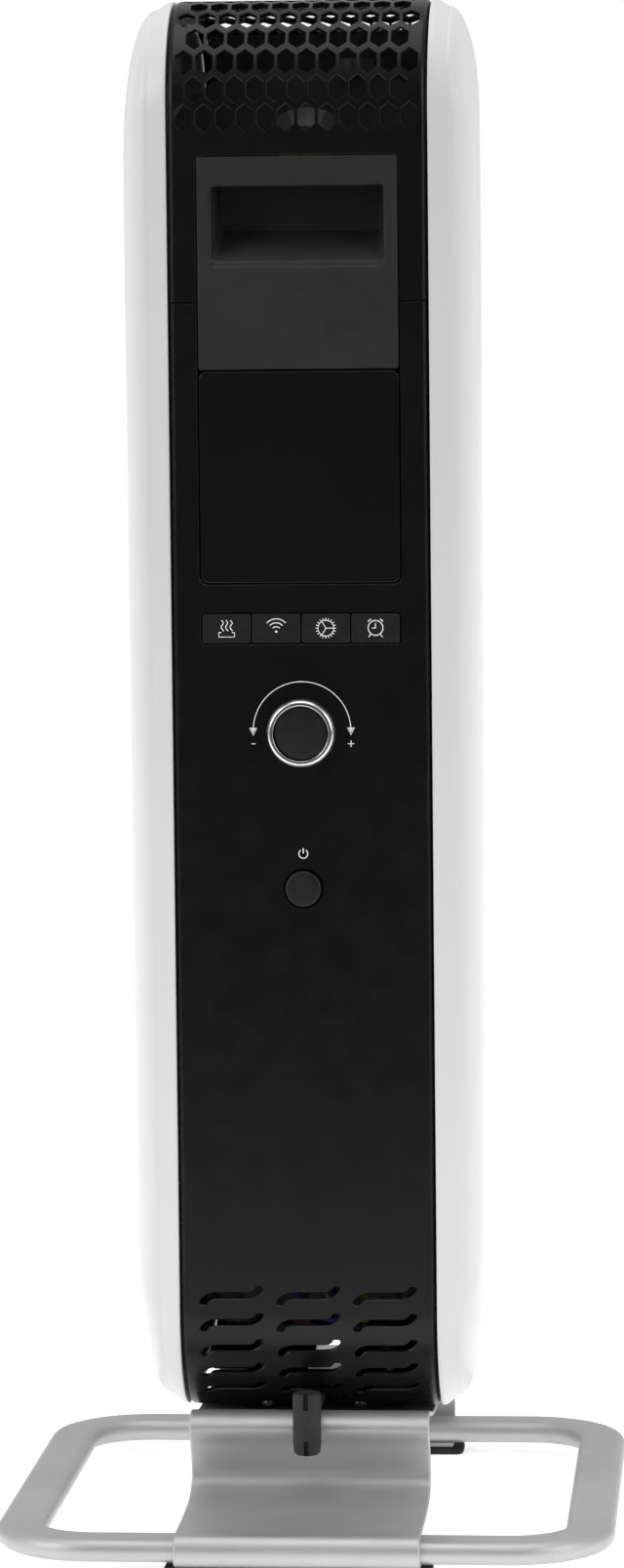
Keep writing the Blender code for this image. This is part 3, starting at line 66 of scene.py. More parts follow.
FRONT_Y = grille_low.y
REAR_Y = grille_high.y
MIDDLE_Y = (FRONT_Y + REAR_Y) / 2
BOTTOM_Z = casing_low.z
TOP_Z = casing_high.z
BODY_DEPTH = REAR_Y - FRONT_Y
BODY_HEIGHT = TOP_Z - BOTTOM_Z
COVER_HALF = grille_high.x
SPLIT_Z = grille_low.z
PANEL_TOP_Z = insert_high.z
INSERT_BOTTOM_Z = insert_low.z
PANEL_HALF = window_high.x
WINDOW_BOTTOM_Z = window_low.z
KEY_Z = (key_low.z + key_high.z) / 2
DIAL_Z = (dial_low.z + dial_high.z) / 2
BUTTON_Z = (button_low.z + button_high.z) / 2

# Sizes shared with the solids
CORNER_RADIUS = 0.045
COVER_WALL = 0.002
COVER_LIP = 0.009
COVER_UNDERLAP = 0.010
PANEL_GAP = 0.0005
SPLIT_GAP = 0.0005
EDGE = 0.00035
FOLD_RADIUS = 0.0021
HEX_PITCH, HEX_WIDTH, HEX_HEIGHT, HEX_SLOPE = 0.0083, 0.0067, 0.0110, 0.0027
HEX_ROW_PITCH, HEX_FIRST_DROP, HEX_EDGE_MARGIN, HEX_REAR_STOP = 0.0116, 0.004, 0.0025, 0.034
SLOT_LENGTH, SLOT_HEIGHT, SLOT_HOOK = 0.0262, 0.0026, 0.0024
SLOT_COLUMN_PITCH, SLOT_ROW_PITCH, SLOT_FIRST_RISE = 0.0316, 0.0112, 0.008
SLOT_ROWS, SLOT_COLUMNS = 5, 3
NOTCH_WIDTH, NOTCH_ARC = 0.0138, 0.0410
SCREW_SPACING, SCREW_ARC, SCREW_HOLE = 0.038, 0.0525, 0.0019
FRONT_WIDTH, REAR_WIDTH = 0.1442, 0.1330
COVER_GROOVE = 0.0009
CASING_WALL, CASING_HEM, TAPER_START = 0.0012, 0.009, 0.030
LAND_WIDTH, LAND_FALL = 0.0072, 0.0014
SHOULDER_DEPTH, SHOULDER_HEIGHT, FACE_CORNER_RADIUS = 0.0195, 0.044, 0.030
FOOT_SHOULDER_HEIGHT = 0.060
SCOOP_WIDTH, SCOOP_HEIGHT, SCOOP_DEPTH, SCOOP_DROP = 0.0695, 0.0295, 0.022, 0.0120
TUBE_WIDTH, TUBE_CORNER = 0.020, 0.042
SHEET_THICKNESS, SHEET_WAIST, SHEET_BULGE, SEAT_GAP = 0.0018, 0.0755, 0.0665, 0.0018
TOUCH_GAP = 0.0003
KEY_GAP, DIAL_HOLE, BUTTON_GAP = 0.0005, 0.004, 0.0005
NOTCH_CUT, NOTCH_SOFT = 0.003, 0.0009
FOLD_STEP, ROLL_STEPS, MITRE_LIMIT = 0.0022, 4, 0.35


# Node helpers ----

class Shader:
    """Small builder for a procedural Principled material."""

    def __init__(self, name, **values):
        self.made = bpy.data.materials.new(name)
        self.made.use_nodes = True
        self.nodes = self.made.node_tree.nodes
        self.links = self.made.node_tree.links
        self.shader = self.nodes["Principled BSDF"]
        for key, value in values.items():
            self.shader.inputs[key.replace("_", " ").title().replace("Ior", "IOR")].default_value = value
        self.place = self.nodes.new("ShaderNodeTexCoord").outputs["Object"]

    def noise(self, scale, detail=3.0, stretch=(1, 1, 1)):
        """Noise value at a scale per metre, stretched along the axes."""
        mapping = self.nodes.new("ShaderNodeMapping")
        mapping.inputs["Scale"].default_value = stretch
        self.links.new(self.place, mapping.inputs["Vector"])
        texture = self.nodes.new("ShaderNodeTexNoise")
        texture.inputs["Scale"].default_value = scale
        texture.inputs["Detail"].default_value = detail
        self.links.new(mapping.outputs["Vector"], texture.inputs["Vector"])
        return texture.outputs["Fac"]

    def voronoi(self, scale):
        texture = self.nodes.new("ShaderNodeTexVoronoi")
        texture.inputs["Scale"].default_value = scale
        self.links.new(self.place, texture.inputs["Vector"])
        return texture.outputs["Distance"]

    def spread(self, value, low, high, start=0.3, end=0.7):
        """Maps a 0 to 1 value onto a range."""
        node = self.nodes.new("ShaderNodeMapRange")
        for key, limit in (("From Min", start), ("From Max", end), ("To Min", low), ("To Max", high)):
            node.inputs[key].default_value = limit
        self.links.new(value, node.inputs["Value"])
        return node.outputs["Result"]

    def tint(self, value, dark, light):
        """Colour that runs between two tones."""
        ramp = self.nodes.new("ShaderNodeValToRGB")
        ramp.color_ramp.elements[0].color = (*dark, 1)
        ramp.color_ramp.elements[1].color = (*light, 1)
        ramp.color_ramp.elements[0].position = 0.3
        ramp.color_ramp.elements[1].position = 0.7
        self.links.new(value, ramp.inputs["Fac"])
        self.links.new(ramp.outputs["Color"], self.shader.inputs["Base Color"])
        return ramp.outputs["Color"]

    def roughness(self, value, low, high):
        self.links.new(self.spread(value, low, high), self.shader.inputs["Roughness"])

    def bump(self, value, distance, strength=1.0):
        """Adds a bump, on top of any earlier one."""
        node = self.nodes.new("ShaderNodeBump")
        node.inputs["Distance"].default_value = distance
        node.inputs["Strength"].default_value = strength
        self.links.new(value, node.inputs["Height"])
        earlier = self.shader.inputs["Normal"].links
        if earlier:
            self.links.new(earlier[0].from_socket, node.inputs["Normal"])
        self.links.new(node.outputs["Normal"], self.shader.inputs["Normal"])


def grained(name, tone, rough, grain, stretch=(1, 1, 1), **values):
    """Material from three noises: tone (scale, detail, dark, light), roughness (scale, detail, low, high)
    and grain (scale, detail, depth, strength), which may be stretched along the axes."""
    s = Shader(name, **values)
    s.tint(s.noise(*tone[:2]), *tone[2:])
    s.roughness(s.noise(*rough[:2]), *rough[2:])
    s.bump(s.noise(*grain[:2], stretch), *grain[2:])
    return s.made


def enamel_material():
    """White powder coat: faint orange peel, slightly warmer patches, soft gloss."""
    s = Shader("white_enamel_coat", specular_ior_level=0.42, coat_weight=0.18, coat_roughness=0.22)
    s.tint(s.noise(7, 4), (0.752, 0.749, 0.749), (0.784, 0.782, 0.782))
    s.roughness(s.noise(60, 5), 0.30, 0.40)
    s.bump(s.noise(900, 2), 0.00006, 0.35)
    s.bump(s.noise(14, 2), 0.0012, 0.06)
    return s.made


def black_material():
    """Semi-gloss black moulding with a fine spark-eroded grain."""
    return grained("black_moulding", (12, 5, (0.0046, 0.0046, 0.0049), (0.0064, 0.0064, 0.0068)),
                   (90, 4, 0.22, 0.32), (2600, 2, 0.00003, 0.30), specular_ior_level=0.26)


def charcoal_material(name, dark, light, low, high):
    """Matte charcoal moulding with a pebbled grain."""
    s = Shader(name, specular_ior_level=0.34)
    s.tint(s.noise(30, 5), dark, light)
    s.roughness(s.noise(150, 4), low, high)
    s.bump(s.voronoi(2400), 0.00005, 0.30)
    s.bump(s.noise(5000, 2), 0.00002, 0.4)
    return s.made


def window_material():
    """Polished dark window with faint wipe marks."""
    s = Shader("window_gloss_dark", specular_ior_level=0.22, coat_weight=0.12, coat_roughness=0.05)
    s.tint(s.noise(9, 3), (0.0056, 0.0056, 0.0060), (0.0076, 0.0076, 0.0081))
    s.roughness(s.noise(40, 6, (1, 1, 3)), 0.09, 0.17)
    s.bump(s.noise(6, 2), 0.0006, 0.05)
    return s.made


def satin_material():
    """Satin silver finish with a fine grain along X."""
    s = Shader("satin_silver", metallic=0.82, specular_ior_level=0.4)
    s.tint(s.noise(18, 5, (0.4, 1, 1)), (0.505, 0.500, 0.500), (0.560, 0.556, 0.556))
    s.roughness(s.noise(260, 5, (0.3, 1, 1)), 0.46, 0.55)
    s.bump(s.noise(1500, 3, (0.3, 1, 1)), 0.00002, 0.2)
    s.bump(s.noise(22, 2), 0.0006, 0.05)
    return s.made


def chrome_material():
    """Satin chrome, turned, with a fine circular grain."""
    return grained("dial_satin_chrome", (140, 4, (0.66, 0.66, 0.67), (0.76, 0.76, 0.77)),
                   (700, 4, 0.16, 0.26), (2500, 2, 0.00001, 0.3), (1, 0.2, 1), metallic=1.0)


def rubber_material():
    return grained("pad_rubber", (80, 5, (0.018, 0.018, 0.018), (0.032, 0.032, 0.031)), (200, 4, 0.72, 0.9),
                   (1800, 3, 0.00008, 0.5), specular_ior_level=0.3)


def zinc_in_painted_shade():
    """Zinc plate darkened nearly to black as painted shade for the dim inside of the heater, with its faint
    spangle.
    """
    s = Shader("zinc_painted_shade", metallic=1.0)
    # dark tones are painted shade for the inside of the heater
    s.tint(s.voronoi(160), (0.045, 0.046, 0.048), (0.085, 0.087, 0.090))
    s.roughness(s.noise(220, 5), 0.42, 0.60)
    s.bump(s.noise(900, 3), 0.00003, 0.3)
    return s.made


def columns_in_painted_shade():
    """Grey radiator paint darkened nearly to black as painted shade for the dim inside of the heater, a
    little uneven.
    """
    return grained("radiator_paint_painted_shade", (22, 5, (0.020, 0.0205, 0.021), (0.034, 0.0345, 0.035)),
                   (120, 4, 0.40, 0.56), (420, 3, 0.00015, 0.3), specular_ior_level=0.4)


def brass_material():
    return grained("turned_brass", (90, 4, (0.56, 0.40, 0.17), (0.68, 0.50, 0.23)), (300, 4, 0.26, 0.42),
                   (1600, 2, 0.00002, 0.3), (1, 0.1, 1), metallic=1.0)


def board_material():
    """Circuit board lacquer over faint copper tracks."""
    s = Shader("board_lacquer", specular_ior_level=0.5)
    tracks = s.nodes.new("ShaderNodeTexBrick")
    tracks.inputs["Scale"].default_value = 180
    tracks.inputs["Color1"].default_value = (0.010, 0.075, 0.030, 1)
    tracks.inputs["Color2"].default_value = (0.014, 0.095, 0.040, 1)
    tracks.inputs["Mortar"].default_value = (0.050, 0.180, 0.080, 1)
    tracks.inputs["Mortar Size"].default_value = 0.03
    s.links.new(s.place, tracks.inputs["Vector"])
    s.links.new(tracks.outputs["Color"], s.shader.inputs["Base Color"])
    s.roughness(s.noise(180, 4), 0.30, 0.46)
    s.bump(tracks.outputs["Fac"], 0.00003, 0.4)
    return s.made


def component_material():
    return grained("component_moulding", (70, 5, (0.026, 0.026, 0.028), (0.044, 0.044, 0.047)),
                   (200, 4, 0.42, 0.6), (2400, 2, 0.00003, 0.4), specular_ior_level=0.4)


def screw_material():
    return grained("blackened_screw", (260, 4, (0.050, 0.050, 0.052), (0.095, 0.095, 0.098)),
                   (500, 4, 0.24, 0.38), (2000, 2, 0.00002, 0.4), metallic=0.85)


def ink_with_painted_glow():
    """Screen-printed white legend ink, with a faint emission that is a painted glow."""
    return grained("legend_print_painted_glow", (900, 3, (0.80, 0.80, 0.80), (0.90, 0.90, 0.90)), (700, 3, 0.5, 0.65),
                   (3000, 2, 0.00001, 0.3), specular_ior_level=0.2, emission_color=(1, 1, 1, 1),
                   emission_strength=0.22)


def wire_material(name, dark, light):
    return grained(name, (120, 4, dark, light), (300, 3, 0.38, 0.52), (1500, 2, 0.00003, 0.3),
                   specular_ior_level=0.4)


ENAMEL = enamel_material()
BLACK = black_material()
CHARCOAL = charcoal_material("charcoal_moulding", (0.018, 0.018, 0.0195), (0.025, 0.025, 0.0265), 0.50, 0.66)
KEY_BLACK = charcoal_material("key_moulding", (0.0078, 0.0078, 0.0088), (0.0116, 0.0116, 0.0126), 0.40, 0.54)
WINDOW = window_material()
SATIN = satin_material()
CHROME = chrome_material()
RUBBER = rubber_material()
PRINT_PAINTED_GLOW = ink_with_painted_glow()


# Mesh helpers ----

def mesh_from(verts, faces):
    mesh = bpy.data.meshes.new("mesh")
    mesh.from_pydata([tuple(v) for v in verts], [], faces)
    work = bmesh.new()
    work.from_mesh(mesh)
    bmesh.ops.recalc_face_normals(work, faces=work.faces)
    work.to_mesh(mesh)
    work.free()
    return mesh


def piece(name, mesh, finish, body=ROOT, replaces=(), sharp=32):
    """Adds a smooth-shaded piece that rides on a body, with the given finish."""
    mesh.name = name
    mesh.materials.append(finish)
    mesh.shade_smooth()
    mesh.set_sharp_from_angle(angle=math.radians(sharp))
    made = bpy.data.objects.new(name, mesh)
    bpy.context.scene.collection.objects.link(made)
    weighted = made.modifiers.new("weighted", "WEIGHTED_NORMAL")
    weighted.keep_sharp = True
    weighted.weight = 80
    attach(made, body)
    if replaces:
        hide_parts(*replaces)
    return made


def skin(rings, closed=False):
    """Points and four-sided faces of the skin between rings of equal point counts."""
    count = len(rings[0])
    faces = []
    for i in range(len(rings) if closed else len(rings) - 1):
        a = i * count
        b = (i + 1) % len(rings) * count
        for j in range(count):
            k = (j + 1) % count
            faces.append((a + j, a + k, b + k, b + j))
    return [point for ring in rings for point in ring], faces


def loft(rings, closed=False):
    """Solid between rings of equal point counts, with flat ends unless it closes on itself."""
    verts, faces = skin(rings, closed)
    if not closed:
        count = len(rings[0])
        faces.append(tuple(range(count)))
        faces.append(tuple(range(len(verts) - count, len(verts))))
    return mesh_from(verts, faces)


def even_steps(start, end, count):
    return [start + (end - start) * i / count for i in range(count + 1)]


def circle(radius, count, centre=(0, 0)):
    step = 2 * math.pi / count
    return [(centre[0] + radius * math.cos(step * i), centre[1] + radius * math.sin(step * i))
            for i in range(count)]


def arc(centre, radius, start, end, count):
    """Points along an arc, angles in degrees."""
    return [(centre[0] + radius * math.cos(math.radians(start + (end - start) * i / count)),
             centre[1] + radius * math.sin(math.radians(start + (end - start) * i / count)))
            for i in range(count + 1)]


def rounded_rectangle(half_u, half_v, radius, steps, fill=0, centre=(0, 0)):
    """Outline with round corners; fill adds points along its two level sides."""
    points = []
    for index, (sign_u, sign_v) in enumerate(((1, 1), (-1, 1), (-1, -1), (1, -1))):
        for i in range(steps + 1):
            angle = math.pi / 2 * (index + i / steps)
            points.append((centre[0] + sign_u * (half_u - radius) + radius * math.cos(angle),
                           centre[1] + sign_v * (half_v - radius) + radius * math.sin(angle)))
        if fill and index in (0, 2):
            start = points[-1]
            end_u = centre[0] - sign_u * (half_u - radius)
            for i in range(1, fill + 1):
                points.append((start[0] + (end_u - start[0]) * i / (fill + 1), start[1]))
    return points


def turned(profile, count, axis="Y", centre=(0, 0, 0)):
    """Profile of (radius, height) spun round an axis; zero radii at its ends become poles."""
    verts, rows = [], []
    for radius, height in profile:
        row = []
        for u, v in (circle(radius, count) if radius > 0 else [(0, 0)]):
            row.append(len(verts))
            verts.append(Vector((u, height, v) if axis == "Y" else (u, v, height)) + Vector(centre))
        rows.append(row)
    faces = []
    for low, high in zip(rows, rows[1:]):
        for j in range(count):
            k = (j + 1) % count
            if len(low) == 1:
                faces.append((low[0], high[j], high[k]))
            elif len(high) == 1:
                faces.append((low[j], low[k], high[0]))
            else:
                faces.append((low[j], low[k], high[k], high[j]))
    return mesh_from(verts, faces)


def rounded_corner(point_in, corner, point_out, radius, steps):
    """Profile points that round one corner of a profile."""
    corner = Vector(corner)
    a = (Vector(point_in) - corner).normalized()
    b = (Vector(point_out) - corner).normalized()
    points = []
    for i in range(steps + 1):
        t = i / steps
        start = corner + a * radius
        end = corner + b * radius
        points.append(tuple(start * (1 - t) ** 2 + corner * 2 * t * (1 - t) + end * t ** 2))
    return points


def softened(profile, radii, steps=4):
    """Profile with its inner points rounded, one radius for each point, 0 to keep it sharp."""
    points = [profile[0]]
    for i in range(1, len(profile) - 1):
        if radii[i] > 0:
            points += rounded_corner(profile[i - 1], profile[i], profile[i + 1], radii[i], steps)
        else:
            points.append(profile[i])
    return points + [profile[-1]]


def plate(low, high, corner, edge, steps=6):
    """Upright plate facing -Y with round corners and a rolled front edge."""
    middle = ((low.x + high.x) / 2, (low.z + high.z) / 2)
    half = ((high.x - low.x) / 2, (high.z - low.z) / 2)
    rings = []
    least_corner = 0.0002
    for i in range(ROLL_STEPS + 1):
        angle = math.pi / 2 * i / ROLL_STEPS
        inset = edge * (1 - math.sin(angle))
        depth = edge * (1 - math.cos(angle))
        radius = max(corner - inset, least_corner)
        ring = rounded_rectangle(half[0] - inset, half[1] - inset, radius, steps, 0, middle)
        rings.append([(x, low.y + depth, z) for x, z in ring])
    back = rounded_rectangle(half[0], half[1], corner, steps, 0, middle)
    rings.append([(x, high.y, z) for x, z in back])
    return loft(rings)


# Body outline seen from the side ----

HALF_BOTTOM = BODY_DEPTH / 2 - CORNER_RADIUS
ARC_LENGTH = CORNER_RADIUS * math.pi / 2
UPRIGHT = BODY_HEIGHT - 2 * CORNER_RADIUS
LOWER_ARC_END = HALF_BOTTOM + ARC_LENGTH
UPPER_ARC_START = LOWER_ARC_END + UPRIGHT


def outline_point(s, inset=0.0):
    """(y, z) at a distance s along the outline, from the middle of the underside round the front."""
    y, z, heading = MIDDLE_Y, BOTTOM_Z, math.pi
    stretches = (HALF_BOTTOM, UPRIGHT, 2 * HALF_BOTTOM, UPRIGHT, HALF_BOTTOM)
    for index, stretch in enumerate(stretches):
        run = min(s, stretch) if index < 4 else s
        y += run * math.cos(heading)
        z += run * math.sin(heading)
        s -= run
        if s <= 0 or index == 4:
            break
        turn = min(s, ARC_LENGTH) / CORNER_RADIUS
        centre_y = y + CORNER_RADIUS * math.sin(heading)
        centre_z = z - CORNER_RADIUS * math.cos(heading)
        heading -= turn
        y = centre_y - CORNER_RADIUS * math.sin(heading)
        z = centre_z + CORNER_RADIUS * math.cos(heading)
        s -= turn * CORNER_RADIUS
        if s <= 1e-9:
            break
    return y + inset * math.sin(heading), z - inset * math.cos(heading)


def height_to_s(z):
    return LOWER_ARC_END + z - BOTTOM_Z - CORNER_RADIUS


def inside(point, polygon):
    found = False
    for (x1, y1), (x2, y2) in zip(polygon, polygon[1:] + polygon[:1]):
        if (y1 > point[1]) != (y2 > point[1]) and point[0] < (x2 - x1) * (point[1] - y1) / (y2 - y1) + x1:
            found = not found
    return found


def grown(polygon, amount):
    """Polygon with every side moved out from its inside."""
    area = sum(x1 * y2 - x2 * y1 for (x1, y1), (x2, y2) in zip(polygon, polygon[1:] + polygon[:1]))
    turn = 1 if area > 0 else -1
    result = []
    for i, point in enumerate(polygon):
        before = (Vector(point) - Vector(polygon[i - 1])).normalized()
        after = (Vector(polygon[(i + 1) % len(polygon)]) - Vector(point)).normalized()
        n1 = Vector((before.y, -before.x)) * turn
        n2 = Vector((after.y, -after.x)) * turn
        mitre = n1 + n2
        scale = amount / max(MITRE_LIMIT, 1 + n1.dot(n2))
        result.append(tuple(Vector(point) + mitre * scale))
    return result


def lip_place(x):
    """Distance across the flat layout turned into (half width, depth) round the rolled edge."""
    bend_start = COVER_HALF - FOLD_RADIUS
    past = abs(x) - bend_start
    if past <= 0:
        return x, 0.0
    angle = min(past / FOLD_RADIUS, math.pi / 2)
    out = bend_start + FOLD_RADIUS * math.sin(angle)
    depth = FOLD_RADIUS * (1 - math.cos(angle)) + max(0.0, past - FOLD_RADIUS * math.pi / 2)
    return math.copysign(out, x), depth


LIP_REACH = COVER_HALF - FOLD_RADIUS + FOLD_RADIUS * math.pi / 2 + COVER_LIP - FOLD_RADIUS


def moulded_cover(outline, holes, folds, mirrored=False):
    """Cover laid out flat as (x, s), with chamfered edges, then wrapped round the body outline."""
    outline = grown(outline, -EDGE)
    holes = [grown(hole, EDGE) for hole in holes]
    coords, edges = [], []
    for ring in [outline] + holes:
        first = len(coords)
        coords += ring
        edges += [(first + i, first + (i + 1) % len(ring)) for i in range(len(ring))]
    low_s = min(s for x, s in outline)
    high_s = max(s for x, s in outline)
    bend = even_steps(COVER_HALF - FOLD_RADIUS, COVER_HALF + FOLD_RADIUS * (math.pi / 2 - 1), ROLL_STEPS)
    lines = [((side * x, low_s), (side * x, high_s)) for side in (-1, 1) for x in bend]
    lines += [((-LIP_REACH, s), (LIP_REACH, s)) for s in folds if low_s < s < high_s]
    for start, end in lines:
        edges.append((len(coords), len(coords) + 1))
        coords += [start, end]
    flat, _, faces, _, _, _ = delaunay_2d_cdt([Vector(c) for c in coords], edges, [], 0, 1e-7)
    near = 0.05
    kept = []
    for face in faces:
        middle = sum((flat[i] for i in face), Vector((0, 0))) / len(face)
        if inside(middle, outline) and not any(inside(middle, hole) for hole in holes
                                               if abs(hole[0][1] - middle.y) < near):
            kept.append(tuple(face))
    used = sorted({i for face in kept for i in face})
    order = {i: n for n, i in enumerate(used)}
    sign = -1 if mirrored else 1

    def wrap(x, s, sink):
        out_x, depth = lip_place(x)
        depth += sink
        if sink > COVER_WALL / 2:
            out_x = math.copysign(min(abs(out_x), COVER_HALF - COVER_WALL), x)
            depth = max(lip_place(x)[1], sink)
        y, z = outline_point(s, depth)
        return (out_x, MIDDLE_Y + sign * (y - MIDDLE_Y), z)

    skins = [tuple(order[i] for i in face) for face in kept]
    verts = [wrap(*flat[i], 0.0) for i in used] + [wrap(*flat[i], COVER_WALL) for i in used]
    total = len(used)
    shell = skins + [tuple(total + i for i in reversed(face)) for face in skins]
    sides = dict.fromkeys((a, b) for face in skins for a, b in zip(face, face[1:] + face[:1]))
    border = [(a, b) for a, b in sides if (b, a) not in sides]
    push = {}
    for a, b in border:
        along = (flat[used[b]] - flat[used[a]]).normalized()
        away = Vector((along.y, -along.x))
        for i in (a, b):
            push.setdefault(i, []).append(away)
    middle = {}
    for i, ways in push.items():
        mitre = sum(ways, Vector((0, 0)))
        scale = EDGE / max(MITRE_LIMIT, 1 + ways[0].dot(ways[-1])) if len(ways) > 1 else EDGE
        spot = flat[used[i]] + mitre * scale
        middle[i] = len(verts)
        out_x, depth = lip_place(spot.x)
        y, z = outline_point(spot.y, depth + EDGE)
        verts.append((out_x, MIDDLE_Y + sign * (y - MIDDLE_Y), z))
    for a, b in border:
        shell.append((b, a, middle[a], middle[b]))
        shell.append((middle[b], middle[a], total + a, total + b))
    return mesh_from(verts, shell)


def round_hole(radius, z, count):
    s = height_to_s(z)
    return [(x, s + v) for x, v in circle(radius, count)]


def honeycomb(first_s, last_s):
    """Staggered rows of tall hexagons between two places on the outline."""
    usable = COVER_HALF - HEX_EDGE_MARGIN - HEX_WIDTH / 2
    w, h = HEX_WIDTH / 2, HEX_HEIGHT / 2
    k = h - HEX_SLOPE
    holes = []
    for row in range(int((last_s - first_s) / HEX_ROW_PITCH + 1e-6) + 1):
        s = first_s + row * HEX_ROW_PITCH
        offset = 0.0 if row % 2 else 0.5
        reach = int(usable / HEX_PITCH - offset + 1e-6)
        for place in range(-reach - (0 if row % 2 else 1), reach + 1):
            x = (offset + place) * HEX_PITCH
            corners = ((0, -h), (w, -k), (w, k), (0, h), (-w, k), (-w, -k))
            holes.append([(x + u, s + v) for u, v in corners])
    return holes


def vent_slots(first_s):
    """Rows of slots, each with its left end turned down and its right end turned up."""
    half, bar = SLOT_LENGTH / 2, SLOT_HEIGHT / 2
    bend = 0.0036
    lower = smooth_line([(half - 2.6 * bend, -bar), (half - 1.3 * bend, -bar * 0.75),
                         (half - 0.45 * bend, 0.0006), (half, SLOT_HOOK + 0.0004)], 4)
    upper = smooth_line([(half - 0.0004, bar + SLOT_HOOK), (half - 0.75 * bend, bar + SLOT_HOOK),
                         (half - 1.0 * bend, bar + 0.0012), (half - 1.5 * bend, bar + 0.0002),
                         (half - 2.6 * bend, bar)], 4)
    shape = lower + upper
    shape += [(-x, -s) for x, s in shape]
    slots = []
    for row in range(SLOT_ROWS):
        for column in range(SLOT_COLUMNS):
            x = (column - (SLOT_COLUMNS - 1) / 2) * SLOT_COLUMN_PITCH
            s = first_s - row * SLOT_ROW_PITCH
            slots.append([(x + u, s + v) for u, v in shape])
    return slots


def smooth_line(points, samples):
    """Catmull-Rom curve through the points."""
    padded = [points[0]] + points + [points[-1]]
    line = []
    for a, b, c, d in zip(padded, padded[1:], padded[2:], padded[3:]):
        for i in range(samples):
            t = i / samples
            line.append(tuple(0.5 * (2 * q + (r - p) * t + (2 * p - 5 * q + 4 * r - s) * t ** 2
                                     + (3 * q - p - 3 * r + s) * t ** 3) for p, q, r, s in zip(a, b, c, d)))
    line.append(points[-1])
    return line


def even_folds(start, end, step):
    return even_steps(start, end, max(1, round((end - start) / step)))


def end_cover(name, panel_bottom_z, controls, mirrored):
    """Lower end cover with vents, screw holes, gland notch and, at the front, the control openings."""
    notch = PANEL_HALF + PANEL_GAP
    low = HALF_BOTTOM - COVER_UNDERLAP
    high = height_to_s(SPLIT_Z) - SPLIT_GAP
    floor = height_to_s(panel_bottom_z) - PANEL_GAP
    gland = LOWER_ARC_END - NOTCH_ARC
    half = NOTCH_WIDTH / 2
    chamfer, flare = 0.0012, 0.003
    right = [(half + flare, low), (LIP_REACH, low), (LIP_REACH, high), (notch, high),
             (notch, floor + NOTCH_CUT), (notch - NOTCH_SOFT, floor + NOTCH_SOFT), (notch - NOTCH_CUT, floor)]
    mouth = [(-half, gland - chamfer), (-half + chamfer, gland),
             (half - chamfer, gland), (half, gland - chamfer)]
    outline = right + [(-x, s) for x, s in reversed(right)] + mouth
    holes = vent_slots(LOWER_ARC_END + SLOT_FIRST_RISE)
    screw_s = LOWER_ARC_END - SCREW_ARC
    for side in (-1, 1):
        holes.append([(side * SCREW_SPACING / 2 + x, screw_s + s) for x, s in circle(SCREW_HOLE, 20)])
    if controls:
        half_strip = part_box("timer_key")[1].x + KEY_GAP
        strip = rounded_rectangle(half_strip, (key_high.z - key_low.z) / 2 + KEY_GAP, 0.0014, 4)
        holes.append([(x, height_to_s(KEY_Z) + s) for x, s in strip])
        holes.append(round_hole(DIAL_HOLE, DIAL_Z, 24))
        holes.append(round_hole(button_high.x + BUTTON_GAP, BUTTON_Z, 64))
    folds = even_folds(HALF_BOTTOM, LOWER_ARC_END, FOLD_STEP)
    mesh = moulded_cover(outline, holes, folds, mirrored)
    piece(name + "_shell", mesh, BLACK, replaces=(name,))


def top_grille():
    """Honeycomb cover from the split line at the front, over the top, to the split line at the rear."""
    notch = PANEL_HALF + PANEL_GAP
    low = height_to_s(SPLIT_Z)
    panel = height_to_s(PANEL_TOP_Z) + PANEL_GAP
    middle = UPPER_ARC_START + ARC_LENGTH + HALF_BOTTOM
    left = [(-LIP_REACH, low), (-notch, low), (-notch, panel - NOTCH_CUT),
            (-notch + NOTCH_SOFT, panel - NOTCH_SOFT), (-notch + NOTCH_CUT, panel)]
    near = left + [(-x, s) for x, s in reversed(left)]
    far = [(-x, 2 * middle - s) for x, s in near]
    holes = honeycomb(UPPER_ARC_START - HEX_FIRST_DROP, 2 * middle - UPPER_ARC_START - HEX_REAR_STOP)
    folds = even_folds(UPPER_ARC_START, UPPER_ARC_START + ARC_LENGTH, FOLD_STEP)
    folds += [2 * middle - s for s in folds]
    mesh = moulded_cover(near + far, holes, folds)
    piece("top_grille_shell", mesh, BLACK, replaces=("top_grille",))


# Side casings ----

def half_width_at(y):
    """Half width of the heater, which tapers to the rear from a little behind the front."""
    start = FRONT_Y + TAPER_START
    share = min(1.0, max(0.0, (y - start) / (REAR_Y - SHOULDER_DEPTH - start)))
    return (FRONT_WIDTH + (REAR_WIDTH - FRONT_WIDTH) * share) / 2


def casing_ring(way_out, fall, wall, steps, fill):
    """Outline of a casing at a share of its way out and of its shoulder's fall."""
    depth_inset = fall * SHOULDER_DEPTH + wall
    low = BOTTOM_Z + fall * FOOT_SHOULDER_HEIGHT + wall
    high = TOP_Z - fall * SHOULDER_HEIGHT - wall
    radius = CORNER_RADIUS + (FACE_CORNER_RADIUS - CORNER_RADIUS) * fall - wall
    outline = rounded_rectangle(BODY_DEPTH / 2 - depth_inset, (high - low) / 2, radius,
                                steps, fill, (MIDDLE_Y, (low + high) / 2))
    rim = COVER_HALF + COVER_GROOVE
    return [(rim + (half_width_at(y) - wall - rim) * way_out, y, z) for y, z in outline]


